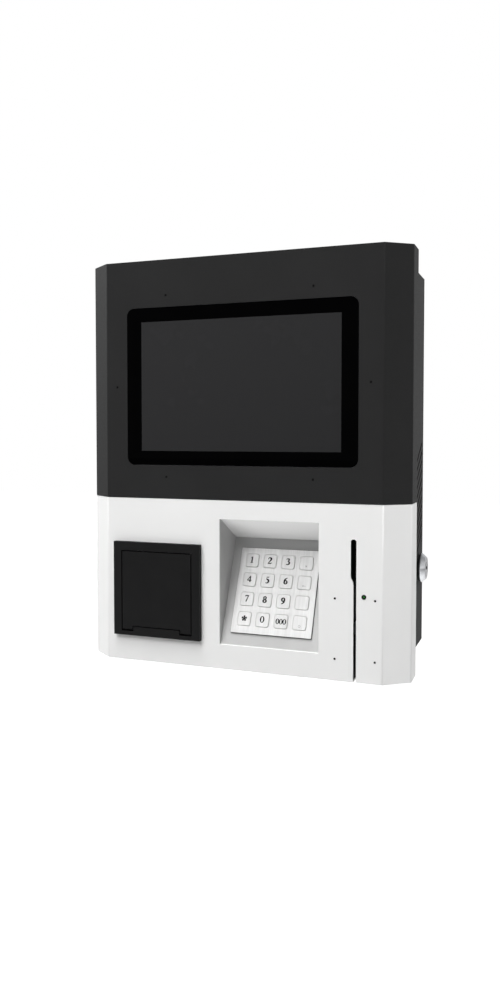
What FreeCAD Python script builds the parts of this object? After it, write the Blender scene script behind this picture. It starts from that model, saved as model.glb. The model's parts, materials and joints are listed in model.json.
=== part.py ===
import FreeCAD, Part
import math
import os
import Sketcher

# Wall-mounted self-service kiosk with a touch display, a sunk keypad, a receipt printer and a card slot.
# Millimetres. X to the customer's right, Y into the wall, Z up.
# The origin is the middle of the wall face, so the front stands at negative Y.

os.makedirs("parts", exist_ok=True)
document = FreeCAD.newDocument("kiosk")
sheet = document.addObject("Spreadsheet::Sheet", "sizes")

DRIVING_SIZES = {
    # Whole kiosk and its folded covers
    "kiosk_width": 350,
    "kiosk_height": 425,
    "kiosk_depth": 150,
    "black_height": 250,
    "cover_gap": 0.4,
    "front_width": 300,
    "facet_depth": 18.65,
    "cover_depth": 45,
    "cover_skin": 2,
    "cover_bend": 2.5,
    # Rear housing on the wall
    "housing_width": 330,
    "housing_height": 404,
    "housing_rise": 1,
    "housing_depth": 125,
    "housing_skin": 2,
    "housing_corner": 1.2,
    "rim_width": 10,
    "seal_width": 8,
    "seal_thick": 2,
    "seal_gap": 0.4,
    "vent_width": 3,
    "vent_pitch": 10,
    "vent_count": 11,
    "vent_front": -70,
    "vent_rear": -8,
    "vent_slope": 30,
    "vent_top": 21,
    "vesa_pitch": 100,
    "vesa_hole": 2.5,
    "cable_across": 88,
    "cable_up": -158,
    "cable_width": 60,
    "cable_height": 30,
    "edging_thick": 2,
    "edging_depth": 7,
    # Long hinge on the left side
    "hinge_across": -170,
    "hinge_back": -100,
    "knuckle_radius": 4.2,
    "hinge_pin_radius": 1.5,
    "hinge_play": 0.05,
    "knuckle_length": 89.5,
    "knuckle_pitch": 180,
    "knuckle_pairs": 2,
    "leaf_thick": 1.5,
    # Cam lock on the right side
    "lock_back": -26,
    "lock_up": -115.3,
    "lock_gasket": 2,
    "lock_rim_radius": 15.9,
    "lock_rim_thick": 2.2,
    "lock_face_radius": 12.2,
    "lock_head": 6.5,
    "lock_barrel_radius": 9.5,
    "lock_barrel_end": -23,
    "lock_bore": 6.95,
    "lock_play": 0.05,
    "cam_thick": 2.5,
    "cam_reach": 29,
    "cam_half_width": 7,
    # Display
    "screen_up": 80.5,
    "glass_width": 250.4,
    "glass_height": 165,
    "glass_corner": 8,
    "glass_thick": 3,
    "glass_gap": 0.3,
    "panel_width": 229.5,
    "panel_height": 149,
    "panel_thick": 4.9,
    "screw_radius": 1.5,
    "screw_proud": 0.4,
    # Sunk keypad
    "pad_across": 33.2,
    "pad_back": -125.7,
    "pad_up": -132.9,
    "pad_slope": 23.2,
    "pad_width": 87,
    "pad_height": 91,
    "pad_thick": 2,
    "tray_width": 106,
    "tray_top": -56.9,
    "tray_bottom": -186.9,
    "tray_skin": 1.5,
    "tray_ridge": 57.4,
    "key_width": 14,
    "key_corner": 1.6,
    "key_gap": 0.4,
    "key_pitch_across": 20,
    "key_pitch_up": 20.8,
    "key_rows_up": 0.5,
    "key_proud": 0.6,
    # Receipt printer
    "printer_across": -90.2,
    "printer_up": -134.6,
    "bezel_width": 100.5,
    "bezel_proud": 5,
    "flap_width": 80,
    "flap_top": -94.7,
    "flap_bottom": -179.4,
    "flap_gap": 1.1,
    "flap_thick": 3,
    "notch_width": 54,
    "notch_top": -175.1,
    "flap_hinge_back": -152.9,
    "flap_hinge_up": -177.4,
    "flap_pin_radius": 0.8,
    "roller_back": -144,
    "roller_up": -101,
    "roller_radius": 5.5,
    "roller_length": 58,
    "shaft_radius": 2,
    "gear_module": 0.8,
    "roll_back": -113,
    "roll_up": -146,
    "roll_radius": 24,
    "bucket_radius": 25,
    "bucket_width": 62,
    "printer_box": 93,
    "printer_box_depth": 64,
    # Card swipe slot
    "slot_right": 124.15,
    "slot_wide": 5.7,
    "slot_narrow": 2.9,
    "slot_top": -72,
    "slot_shoulder": -107.5,
    "slot_neck": -117.1,
    "slot_depth": 19,
    "reader_across": 122.75,
    "reader_up": -160.8,
    "reader_pitch_across": 40,
    "reader_pitch_up": 60,
    "lamp_across": 131.75,
    "lamp_up": -127.7,
    "lamp_radius": 2.4,
}

for row, (name, number) in enumerate(DRIVING_SIZES.items(), start=1):
    sheet.set(f"A{row}", name)
    sheet.set(f"B{row}", str(number))
    sheet.setAlias(f"B{row}", name)
document.recompute()


class Size:
    """A number together with the sheet expression that gives it."""

    def __init__(self, value, text):
        self.value = value
        self.text = text

    def __add__(self, other):
        other = as_size(other)
        return Size(self.value + other.value, f"({self.text} + {other.text})")

    def __sub__(self, other):
        other = as_size(other)
        return Size(self.value - other.value, f"({self.text} - {other.text})")

    def __mul__(self, other):
        other = as_size(other)
        return Size(self.value * other.value, f"({self.text} * {other.text})")

    def __truediv__(self, other):
        other = as_size(other)
        return Size(self.value / other.value, f"({self.text} / {other.text})")

    def __radd__(self, other):
        return as_size(other) + self

    def __rsub__(self, other):
        return as_size(other) - self

    def __rmul__(self, other):
        return as_size(other) * self

    def __neg__(self):
        return Size(-self.value, f"(0 - {self.text})")


def as_size(number):
    if isinstance(number, Size):
        return number
    return Size(float(number), f"({float(number)})")


def size(name):
    return Size(float(DRIVING_SIZES[name]), f"sizes.{name}")


def sine(angle):
    return Size(math.sin(math.radians(angle.value)), f"sin({angle.text})")


def cosine(angle):
    return Size(math.cos(math.radians(angle.value)), f"cos({angle.text})")


def bind(thing, prop, number):
    """Set a property to a size and keep it tied to the sheet."""
    number = as_size(number)
    whole = isinstance(getattr(thing, prop), int)
    setattr(thing, prop, int(number.value) if whole else number.value)
    if "sizes." in number.text:
        thing.setExpression(prop, number.text)


# Bodies, sketches and features

def new_body(label, x=0, y=0, z=0, turn=None):
    body = document.addObject("PartDesign::Body", label)
    body.Label = label
    rotation = turn if turn else FreeCAD.Rotation()
    place = [as_size(number) for number in (x, y, z)]
    body.Placement = FreeCAD.Placement(FreeCAD.Vector(*[number.value for number in place]), rotation)
    for axis, number in zip("xyz", place):
        if "sizes." in number.text:
            body.setExpression(f"Placement.Base.{axis}", number.text)
    return body


def new_sketch(body, plane, offset=0):
    """A sketch on one of the body's own planes, moved along that plane's normal."""
    sketch = body.newObject("Sketcher::SketchObject", body.Label + "_sketch")
    planes = [item for item in body.Origin.OriginFeatures if item.Role == plane]
    sketch.AttachmentSupport = (planes[0], [""])
    sketch.MapMode = "FlatFace"
    offset = as_size(offset)
    sketch.AttachmentOffset = FreeCAD.Placement(FreeCAD.Vector(0, 0, offset.value), FreeCAD.Rotation())
    if "sizes." in offset.text:
        sketch.setExpression("AttachmentOffset.Base.z", offset.text)
    return sketch


def front_sketch(body, y):
    """A sketch seen from the front: its X is X, its Y is Z, and it lies at the depth y."""
    return new_sketch(body, "XZ_Plane", -as_size(y))


def side_sketch(body, x):
    """A sketch seen from the right: its X is Y, its Y is Z, and it lies at the place x."""
    return new_sketch(body, "YZ_Plane", x)


def plan_sketch(body, z):
    return new_sketch(body, "XY_Plane", z)


def constrain(sketch, kind, references, number):
    index = sketch.addConstraint(Sketcher.Constraint(kind, *references, number.value))
    if "sizes." in number.text:
        name = f"{kind}_{index}"
        sketch.renameConstraint(index, name)
        sketch.setExpression(f"Constraints.{name}", number.text)


def pin_point(sketch, geometry, end, x, y):
    constrain(sketch, "DistanceX", (-1, 1, geometry, end), as_size(x))
    constrain(sketch, "DistanceY", (-1, 1, geometry, end), as_size(y))


def vector(x, y):
    return FreeCAD.Vector(as_size(x).value, as_size(y).value, 0)


def outline(sketch, points):
    """A closed outline of straight lines through the points."""
    lines = []
    for index, point in enumerate(points):
        following = points[(index + 1) % len(points)]
        lines.append(sketch.addGeometry(Part.LineSegment(vector(*point), vector(*following))))
    for index, line in enumerate(lines):
        following = lines[(index + 1) % len(lines)]
        sketch.addConstraint(Sketcher.Constraint("Coincident", line, 2, following, 1))
        pin_point(sketch, line, 1, *points[index])


def rectangle(sketch, width, height, x=0, y=0):
    left = as_size(x) - as_size(width) / 2
    right = as_size(x) + as_size(width) / 2
    low = as_size(y) - as_size(height) / 2
    high = as_size(y) + as_size(height) / 2
    outline(sketch, [(left, low), (right, low), (right, high), (left, high)])


def circle(sketch, radius, x=0, y=0):
    radius = as_size(radius)
    shape = Part.Circle(vector(x, y), FreeCAD.Vector(0, 0, 1), radius.value)
    geometry = sketch.addGeometry(shape)
    constrain(sketch, "Radius", (geometry,), radius)
    pin_point(sketch, geometry, 3, x, y)


def arc(sketch, radius, x, y, start, end):
    shape = Part.ArcOfCircle(Part.Circle(vector(x, y), FreeCAD.Vector(0, 0, 1), radius.value),
                             math.radians(start), math.radians(end))
    geometry = sketch.addGeometry(shape)
    constrain(sketch, "Radius", (geometry,), radius)
    pin_point(sketch, geometry, 3, x, y)
    return geometry


def join_tangent(sketch, first, first_end, second, second_end):
    sketch.addConstraint(Sketcher.Constraint("Tangent", first, first_end, second, second_end))


def arcs_and_lines(sketch, arcs):
    """Join arcs, each (geometry, x, y, radius, start, end), by tangent lines in turn."""
    for index, this in enumerate(arcs):
        following = arcs[(index + 1) % len(arcs)]
        turn_end = math.radians(this[5])
        turn_start = math.radians(following[4])
        start = vector(this[1], this[2])
        start += FreeCAD.Vector(math.cos(turn_end), math.sin(turn_end), 0) * this[3].value
        end = vector(following[1], following[2])
        end += FreeCAD.Vector(math.cos(turn_start), math.sin(turn_start), 0) * following[3].value
        line = sketch.addGeometry(Part.LineSegment(start, end))
        join_tangent(sketch, this[0], 2, line, 1)
        join_tangent(sketch, line, 2, following[0], 1)


def rounded_rectangle(sketch, width, height, corner, x=0, y=0):
    corner = as_size(corner)
    half_width = as_size(width) / 2 - corner
    half_height = as_size(height) / 2 - corner
    arcs = []
    for side_x, side_y, start in ((1, 1, 0), (-1, 1, 90), (-1, -1, 180), (1, -1, 270)):
        centre_x = as_size(x) + half_width * side_x
        centre_y = as_size(y) + half_height * side_y
        geometry = arc(sketch, corner, centre_x, centre_y, start, start + 90)
        arcs.append((geometry, centre_x, centre_y, corner, start, start + 90))
    arcs_and_lines(sketch, arcs)


def cut_corner_rectangle(sketch, width, height, corner, x=0, y=0):
    """A rectangle whose corners are cut off straight."""
    x = as_size(x)
    y = as_size(y)
    far_x = as_size(width) / 2
    far_y = as_size(height) / 2
    near_x = far_x - corner
    near_y = far_y - corner
    outline(sketch, [(x + near_x, y - far_y), (x + far_x, y - near_y), (x + far_x, y + near_y),
                     (x + near_x, y + far_y), (x - near_x, y + far_y), (x - far_x, y + near_y),
                     (x - far_x, y - near_y), (x - near_x, y - far_y)])


def regular_outline(sketch, sides, corner):
    """Equal sides round the sketch's origin, given its centre-to-corner distance."""
    points = []
    for step in range(sides):
        angle = as_size(360 / sides * step)
        points.append((corner * cosine(angle), corner * sine(angle)))
    outline(sketch, points)


def new_feature(body, kind):
    """Make a feature without moving the body's tip on to it yet."""
    tip = body.Tip
    feature = body.newObject(f"PartDesign::{kind}", f"{body.Label}_{kind.lower()}")
    return feature, tip


def volume_of(feature):
    return feature.Shape.Volume if feature and not feature.Shape.isNull() else 0


def check_change(body, feature, tip, grows):
    document.recompute()
    change = feature.Shape.Volume - volume_of(tip)
    if (change > 1e-6) != grows:
        raise ValueError(f"{feature.Label} changes {body.Label} by {change:.3f}")
    return feature


def pad(body, sketch, length, back=False, both=False):
    feature, tip = new_feature(body, "Pad")
    feature.Profile = sketch
    bind(feature, "Length", length)
    feature.Reversed = back
    if both:
        feature.SideType = "Symmetric"
    return check_change(body, feature, tip, grows=True)


def pocket(body, sketch, depth, back=False, both=False):
    feature, tip = new_feature(body, "Pocket")
    feature.Profile = sketch
    bind(feature, "Length", depth)
    feature.Reversed = back
    if both:
        feature.SideType = "Symmetric"
    return check_change(body, feature, tip, grows=False)


def revolve(body, sketch, axis="H_Axis"):
    feature, tip = new_feature(body, "Revolution")
    feature.Profile = sketch
    feature.ReferenceAxis = (sketch, [axis])
    feature.Angle = 360
    return check_change(body, feature, tip, grows=True)


def repeat(body, features, axis, pitch, count, grows):
    """A row of the same features along one of the body's own axes."""
    feature, tip = new_feature(body, "LinearPattern")
    feature.Originals = features
    axes = [item for item in body.Origin.OriginFeatures if item.Role == axis]
    feature.Direction = (axes[0], [""])
    feature.Mode = "Spacing"
    bind(feature, "Offset", pitch)
    bind(feature, "Occurrences", count)
    body.Tip = feature
    return check_change(body, feature, tip, grows)


def edges_along(shape, axis, test=None):
    """Names of the straight edges that run along an axis."""
    names = []
    for index, edge in enumerate(shape.Edges, start=1):
        if edge.Curve.TypeId != "Part::GeomLine":
            continue
        run = edge.Vertexes[-1].Point - edge.Vertexes[0].Point
        if abs(run.normalize().dot(axis)) > 0.999 and (test is None or test(edge.CenterOfMass)):
            names.append(f"Edge{index}")
    return names


def fillet(body, base, edges, radius, kind="Fillet"):
    feature, tip = new_feature(body, kind)
    feature.Base = (base, edges)
    bind(feature, "Radius" if kind == "Fillet" else "Size", radius)
    document.recompute()
    return feature


def shell(body, base, open_face_test, thickness):
    """Hollow the body inwards and leave open the faces that the test picks."""
    faces = [f"Face{index}" for index, face in enumerate(base.Shape.Faces, start=1)
             if open_face_test(face.CenterOfMass)]
    feature, tip = new_feature(body, "Thickness")
    feature.Base = (base, faces)
    bind(feature, "Value", thickness)
    feature.Reversed = True
    feature.Mode = "Skin"
    feature.Join = "Intersection"
    return check_change(body, feature, tip, grows=False)


def block(label, low, high):
    """A plain box between two corners."""
    box = document.addObject("Part::Box", label)
    box.Label = label
    for prop, start, end in zip(("Length", "Width", "Height"), low, high):
        bind(box, prop, as_size(end) - as_size(start))
    place = [as_size(number) for number in low]
    box.Placement.Base = FreeCAD.Vector(*[number.value for number in place])
    for axis, number in zip("xyz", place):
        if "sizes." in number.text:
            box.setExpression(f"Placement.Base.{axis}", number.text)
    return box


def rod(label, radius, length, x, y, z, axis):
    """A cylinder that starts at a point and runs along an axis."""
    cylinder = document.addObject("Part::Cylinder", label)
    cylinder.Label = label
    bind(cylinder, "Radius", radius)
    bind(cylinder, "Height", length)
    place = [as_size(number) for number in (x, y, z)]
    cylinder.Placement = FreeCAD.Placement(
        FreeCAD.Vector(*[number.value for number in place]),
        FreeCAD.Rotation(FreeCAD.Vector(0, 0, 1), axis))
    for name, number in zip("xyz", place):
        if "sizes." in number.text:
            cylinder.setExpression(f"Placement.Base.{name}", number.text)
    return cylinder


def prism(label, sides, corner, length, x, y, z, axis):
    """A regular prism that starts at a point and runs along an axis."""
    solid = document.addObject("Part::Prism", label)
    solid.Label = label
    solid.Polygon = sides
    bind(solid, "Circumradius", corner)
    bind(solid, "Height", length)
    place = [as_size(number) for number in (x, y, z)]
    solid.Placement = FreeCAD.Placement(
        FreeCAD.Vector(*[number.value for number in place]),
        FreeCAD.Rotation(FreeCAD.Vector(0, 0, 1), axis))
    for name, number in zip("xyz", place):
        if "sizes." in number.text:
            solid.setExpression(f"Placement.Base.{name}", number.text)
    return solid


def fuse(label, shapes):
    result = document.addObject("Part::MultiFuse", label)
    result.Label = label
    result.Shapes = shapes
    result.Refine = True
    return result


def cut(label, base, tools):
    tool = tools[0]
    if len(tools) > 1:
        tool = fuse(label + "_tools", tools)
    result = document.addObject("Part::Cut", label)
    result.Label = label
    result.Base = base
    result.Tool = tool
    return result


def group(label, shapes):
    """Several separate, identical solids in one node."""
    result = document.addObject("Part::Compound", label)
    result.Label = label
    result.Links = shapes
    return result


X_AXIS = FreeCAD.Vector(1, 0, 0)
Y_AXIS = FreeCAD.Vector(0, 1, 0)
Z_AXIS = FreeCAD.Vector(0, 0, 1)

front = -size("kiosk_depth")
skin = size("cover_skin")
inside_front = front + skin
seam = size("kiosk_height") / 2 - size("black_height")
housing_front = -size("housing_depth")
housing_side = size("housing_width") / 2
cover_rear = front + size("cover_depth")


# Rear housing

def rear_housing():
    """Folded steel box with a rim round its open front, side vents and wall holes."""
    body = new_body("rear_housing")
    sketch = front_sketch(body, 0)
    rectangle(sketch, size("housing_width"), size("housing_height"), 0, size("housing_rise"))
    box = pad(body, sketch, size("housing_depth"))
    corners = edges_along(box.Shape, Y_AXIS)
    bevelled = fillet(body, box, corners, size("housing_corner"), kind="Chamfer")
    shell(body, bevelled, lambda centre: centre.y < housing_front.value + 0.01, size("housing_skin"))

    rim = front_sketch(body, housing_front + size("housing_skin"))
    cut_corner_rectangle(rim, size("housing_width"), size("housing_height"), size("housing_corner"), 0,
                         size("housing_rise"))
    rectangle(rim, size("housing_width") - size("rim_width") * 2,
              size("housing_height") - size("rim_width") * 2, 0, size("housing_rise"))
    pad(body, rim, size("housing_skin"))

    vent = side_sketch(body, 0)
    rise = (size("vent_rear") - size("vent_front")) * sine(size("vent_slope")) / cosine(size("vent_slope"))
    half = size("vent_width") / 2 / cosine(size("vent_slope"))
    lowest = size("vent_top") - size("vent_pitch") * (size("vent_count") - 1)
    outline(vent, [(size("vent_front"), lowest - rise - half), (size("vent_rear"), lowest - half),
                   (size("vent_rear"), lowest + half), (size("vent_front"), lowest - rise + half)])
    slot = pocket(body, vent, size("housing_width") + 10, both=True)
    repeat(body, [slot], "Z_Axis", size("vent_pitch"), size("vent_count"), grows=False)

    holes = front_sketch(body, 0)
    for side_x in (-1, 1):
        for side_z in (-1, 1):
            half_pitch = size("vesa_pitch") / 2
            circle(holes, size("vesa_hole"), half_pitch * side_x, half_pitch * side_z)
    cut_corner_rectangle(holes, size("cable_width") + size("edging_thick") * 2,
                         size("cable_height") + size("edging_thick") * 2, 5,
                         size("cable_across"), size("cable_up"))
    pocket(body, holes, size("housing_skin") + 1, back=True)

    lock_hole = side_sketch(body, housing_side)
    circle(lock_hole, size("lock_barrel_radius"), size("lock_back"), size("lock_up"))
    pocket(body, lock_hole, size("housing_skin") + 1)
    return body


def housing_seal():
    """Rubber strip on the rim, which the door closes against."""
    body = new_body("housing_seal")
    sketch = front_sketch(body, housing_front)
    inner = size("rim_width") * 2
    outer = (size("rim_width") - size("seal_width")) * 2
    rise = size("housing_rise")
    rectangle(sketch, size("housing_width") - outer, size("housing_height") - outer, 0, rise)
    rectangle(sketch, size("housing_width") - inner, size("housing_height") - inner, 0, rise)
    pad(body, sketch, size("seal_thick"))
    return body


def cable_edging():
    """Rubber edging that lines the cable opening, flush with the wall face, with a lip inside."""
    body = new_body("cable_edging", size("cable_across"), 0, size("cable_up"))
    width = size("cable_width")
    height = size("cable_height")
    thick = size("edging_thick") * 2
    lining = front_sketch(body, 0)
    cut_corner_rectangle(lining, width + thick, height + thick, 5)
    cut_corner_rectangle(lining, width, height, 4)
    pad(body, lining, size("edging_depth"))
    lip = front_sketch(body, -size("housing_skin"))
    cut_corner_rectangle(lip, width + thick * 2, height + thick * 2, 6)
    cut_corner_rectangle(lip, width, height, 4)
    pad(body, lip, size("edging_depth") - size("housing_skin"))
    return body


# Long hinge

def hinge_leaf(label, plate_low, plate_high, tab_low, tab_high, first_knuckle, bore):
    """A leaf with knuckles; the plate and tab corners are measured from the pin's axis."""
    body = new_body(label, size("hinge_across"), size("hinge_back"), 0)
    length = size("knuckle_pitch") * size("knuckle_pairs")
    base = -length / 2
    plate = plan_sketch(body, base)
    outline(plate, [plate_low, (plate_high[0], plate_low[1]), plate_high, (plate_low[0], plate_high[1])])
    pad(body, plate, length)
    start = base + first_knuckle
    tab = plan_sketch(body, start)
    outline(tab, [tab_low, (tab_high[0], tab_low[1]), tab_high, (tab_low[0], tab_high[1])])
    tab_pad = pad(body, tab, size("knuckle_length"))
    knuckle = plan_sketch(body, start)
    circle(knuckle, size("knuckle_radius"))
    knuckle_pad = pad(body, knuckle, size("knuckle_length"))
    repeat(body, [tab_pad, knuckle_pad], "Z_Axis", size("knuckle_pitch"), size("knuckle_pairs"), grows=True)
    hole = plan_sketch(body, base - 1)
    circle(hole, bore)
    pocket(body, hole, length + 2, back=True)
    return body


def hinge_housing_leaf():
    wall = housing_side * -1 - size("hinge_across")
    outer = wall - size("leaf_thick")
    return hinge_leaf("hinge_housing_leaf", (outer, 4.6), (wall, 22), (outer, 0), (wall, 4.6), as_size(0.25),
                      size("hinge_pin_radius"))


def hinge_door_leaf():
    flange = size("kiosk_width") / -2 + skin - size("hinge_across")
    inner = flange + size("leaf_thick")
    start = size("knuckle_pitch") / 2 + 0.25
    return hinge_leaf("hinge_door_leaf", (flange, -22), (inner, -5), (flange, -5), (inner, 0), start,
                      size("hinge_pin_radius") + size("hinge_play"))


def hinge_pin():
    length = size("knuckle_pitch") * size("knuckle_pairs") + 2
    return rod("hinge_pin", size("hinge_pin_radius"), length, size("hinge_across"), size("hinge_back"),
               -length / 2, Z_AXIS)


# Cam lock

def lock_place(label):
    return new_body(label, housing_side, size("lock_back"), size("lock_up"))


def turned_ring(label, points):
    """A ring turned about the lock's axis; points are along the axis and out from it."""
    body = lock_place(label)
    sketch = new_sketch(body, "XY_Plane")
    outline(sketch, points)
    revolve(body, sketch)
    return body


def lock_gasket():
    """Rubber washer under the lock's rim, drawn with 24 sides."""
    body = lock_place("lock_gasket")
    sketch = new_sketch(body, "YZ_Plane")
    regular_outline(sketch, 24, size("lock_rim_radius") - 1.2)
    regular_outline(sketch, 24, size("lock_barrel_radius") + 0.2)
    pad(body, sketch, size("lock_gasket"))
    return body


def lock_body():
    gasket = size("lock_gasket")
    face = gasket + size("lock_head")
    bore = size("lock_bore")
    rim = size("lock_rim_radius")
    barrel = size("lock_barrel_radius")
    end = size("lock_barrel_end")
    return turned_ring("lock_body", [(end, bore), (face, bore), (face, size("lock_face_radius")),
                                     (gasket + size("lock_rim_thick"), rim), (gasket, rim),
                                     (gasket, barrel), (end, barrel)])


def lock_nut():
    body = lock_place("lock_nut")
    sketch = new_sketch(body, "YZ_Plane", -size("housing_skin") - 5)
    regular_outline(sketch, 6, size("lock_barrel_radius") + 5.5)
    circle(sketch, size("lock_barrel_radius"))
    pad(body, sketch, 5)
    return body


def lock_plug():
    """Turning plug with its key slot, a square end for the cam and the screw that holds it."""
    body = lock_place("lock_plug")
    face = size("lock_gasket") + size("lock_head")
    end = size("lock_barrel_end")
    radius = size("lock_bore") - size("lock_play")
    turned = new_sketch(body, "XY_Plane")
    outline(turned, [(end, 0), (face, 0), (face, radius), (end, radius)])
    revolve(body, turned)
    square = new_sketch(body, "YZ_Plane", end)
    rectangle(square, 8, 8)
    pad(body, square, size("cam_thick") + 0.5, back=True)
    head = new_sketch(body, "YZ_Plane", end - size("cam_thick") - 0.5)
    regular_outline(head, 6, as_size(6))
    pad(body, head, 2.7, back=True)
    keyway = new_sketch(body, "YZ_Plane", face)
    outline(keyway, [(-0.8, -3.6), (0.8, -3.6), (0.8, 3.0), (-0.8, 3.0)])
    pocket(body, keyway, 7)
    return body


def lock_cam():
    """Lever that points forward while the door is free and down while it is locked."""
    body = lock_place("lock_cam")
    sketch = new_sketch(body, "YZ_Plane", size("lock_barrel_end") - size("cam_thick") - 0.5)
    half = size("cam_half_width")
    tip = -size("cam_reach") - half
    corner = 3
    outline(sketch, [(half, half - corner), (half - corner, half), (tip + corner, half),
                     (tip, half - corner), (tip, corner - half), (tip + corner, -half),
                     (half - corner, -half), (half, corner - half)])
    rectangle(sketch, 8, 8)
    pad(body, sketch, size("cam_thick"))
    return body


# Electronics on the rear wall

def power_supply():
    """Mains supply in a pierced case, with a screw terminal strip on its left end."""
    body = new_body("power_supply", -70.5, -size("housing_skin"), -129)
    case = front_sketch(body, 0)
    rectangle(case, 99, 82)
    pad(body, case, 30)
    strip = front_sketch(body, -30)
    rectangle(strip, 13, 78, -43, 0)
    pocket(body, strip, 16)
    barrier = front_sketch(body, -14)
    rectangle(barrier, 11, 1.2, -43, -35)
    wall = pad(body, barrier, 9)
    repeat(body, [wall], "Z_Axis", 10, 8, grows=True)
    vents = front_sketch(body, -30)
    rectangle(vents, 64, 3.2, 8, -28)
    vent = pocket(body, vents, 3)
    repeat(body, [vent], "Z_Axis", 11, 6, grows=False)
    return body


def main_board():
    """Computer board with its connectors along the lower edge."""
    body = new_body("main_board", -47, -size("housing_skin") - 8, 121)
    plate = front_sketch(body, 0)
    rectangle(plate, 146, 102)
    pad(body, plate, 1.6)
    parts = front_sketch(body, -1.6)
    for width, height, x, z in ((16, 16, -58, -43), (16, 16, -38, -43), (14, 13, -18, -44.5),
                                (31, 12, 8, -45), (18, 18, 44, -40), (10, 68, 62, 10)):
        rectangle(parts, width, height, x, z)
    pad(body, parts, 11)
    chips = front_sketch(body, -1.6)
    for width, height, x, z in ((30, 8, -45, 20), (12, 12, 38, -12), (8, 8, -55, -12), (20, 6, 30, 40)):
        rectangle(chips, width, height, x, z)
    pad(body, chips, 2)
    return body


def heat_sink():
    """Finned heat sink that sits on the computer board."""
    body = new_body("heat_sink", -47, -size("housing_skin") - 9.6, 126)
    base = front_sketch(body, 0)
    rectangle(base, 56, 56)
    pad(body, base, 4)
    fin = front_sketch(body, -4)
    rectangle(fin, 2, 56, -27, 0)
    blade = pad(body, fin, 14)
    repeat(body, [blade], "X_Axis", 6, 10, grows=True)
    return body


def board_spacers():
    """Four hexagonal posts between the rear wall and the computer board."""
    spacers = []
    for x in (-116, 22):
        for z in (74, 168):
            spacers.append(prism("board_spacer", 6, 3.2, 8, x, -size("housing_skin"), z, -Y_AXIS))
    return group("board_spacers", spacers)


# Door covers and frame

def folded_cover(label, low, high, open_end):
    """Front sheet with slanted sides, folded back all round except at the seam."""
    body = new_body(label)
    sketch = plan_sketch(body, low)
    half = size("kiosk_width") / 2
    flat = size("front_width") / 2
    bend = front + size("facet_depth")
    outline(sketch, [(-half, cover_rear), (-half, bend), (-flat, front), (flat, front), (half, bend),
                     (half, cover_rear)])
    block = pad(body, sketch, high - low)
    bends = edges_along(block.Shape, Z_AXIS, lambda centre: centre.y < cover_rear.value - 1)
    solid = fillet(body, block, bends, size("cover_bend"))
    open_z = open_end.value

    def is_open(centre):
        return centre.y > cover_rear.value - 0.01 or abs(centre.z - open_z) < 0.01

    shell(body, solid, is_open, skin)
    return body


def upper_cover():
    """Black cover with the display window."""
    low = seam + size("cover_gap") / 2
    body = folded_cover("upper_cover", low, size("kiosk_height") / 2, low)
    window = front_sketch(body, front)
    rounded_rectangle(window, size("glass_width") + size("glass_gap") * 2,
                      size("glass_height") + size("glass_gap") * 2,
                      size("glass_corner") + size("glass_gap"), 0, size("screen_up"))
    pocket(body, window, skin + 1)
    return body


def display_screw_places():
    places = [(-137.5, 0), (137.5, 0)]
    for x in (-80, 80):
        for z in (-95, 95):
            places.append((x, z))
    return places


def reader_screw_places():
    places = []
    for side_x in (-1, 1):
        for side_z in (-1, 1):
            places.append((size("reader_across") + size("reader_pitch_across") / 2 * side_x,
                           size("reader_up") + size("reader_pitch_up") / 2 * side_z))
    return places


def card_slot_outline(sketch):
    """Wide mouth with a slanted shoulder that narrows to the swipe track."""
    right = size("slot_right")
    wide = right - size("slot_wide")
    narrow = right - size("slot_narrow")
    below = size("kiosk_height") / -2 - 1
    top = size("slot_top")
    outline(sketch, [(right, below), (right, top - 1.5), (right - 1.5, top), (wide + 1.5, top),
                     (wide, top - 1.5), (wide, size("slot_shoulder")), (wide + 0.4, size("slot_shoulder") - 3),
                     (narrow - 0.4, size("slot_neck") + 3), (narrow, size("slot_neck")), (narrow, below)])


def lower_cover():
    """White cover with the keypad, printer and card slot openings."""
    high = seam - size("cover_gap") / 2
    body = folded_cover("lower_cover", size("kiosk_height") / -2, high, high)
    openings = front_sketch(body, front)
    tray_middle = (size("tray_top") + size("tray_bottom")) / 2
    rectangle(openings, size("tray_width"), size("tray_top") - size("tray_bottom"), size("pad_across"),
              tray_middle)
    rectangle(openings, size("printer_box") + 1, size("printer_box") + 1, size("printer_across"),
              size("printer_up"))
    circle(openings, size("lamp_radius"), size("lamp_across"), size("lamp_up"))
    pocket(body, openings, skin + 1)
    slot = front_sketch(body, front)
    card_slot_outline(slot)
    pocket(body, slot, size("slot_depth"))
    return body


def door_frame():
    """Steel frame that joins both covers and meets the seal on the housing."""
    body = new_body("door_frame")
    rear = housing_front - size("seal_thick") - size("seal_gap")
    sketch = front_sketch(body, rear)
    rectangle(sketch, size("kiosk_width") - skin * 2, size("kiosk_height") - skin * 2)
    rectangle(sketch, 288, 226, 0, 86)
    rectangle(sketch, 288, 152, 0, -124)
    pad(body, sketch, 1.6)
    for low, across in ((197.4, 0), (-201.6, -21)):
        ledge = plan_sketch(body, low)
        rectangle(ledge, 240, 14, across, rear - 8)
        pad(body, ledge, 1.6)
    return body


def latch_bracket():
    """Arm from the door frame to the lock, with a lip that the cam blocks."""
    body = new_body("latch_bracket")
    root = housing_front - size("seal_thick") - size("seal_gap")
    lip_front = size("lock_back") + size("cam_half_width") + 0.5
    sketch = plan_sketch(body, size("lock_up") - 40)
    thick = 2
    outline(sketch, [(133, root), (153, root), (153, root + thick), (133 + thick, root + thick),
                     (133 + thick, lip_front), (143, lip_front), (143, lip_front + thick),
                     (133, lip_front + thick)])
    pad(body, sketch, 20)
    return body


# Display

def touch_glass():
    body = new_body("touch_glass")
    sketch = front_sketch(body, front + size("glass_thick"))
    rounded_rectangle(sketch, size("glass_width"), size("glass_height"), size("glass_corner"), 0,
                      size("screen_up"))
    pad(body, sketch, size("glass_thick"))
    return body


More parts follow.
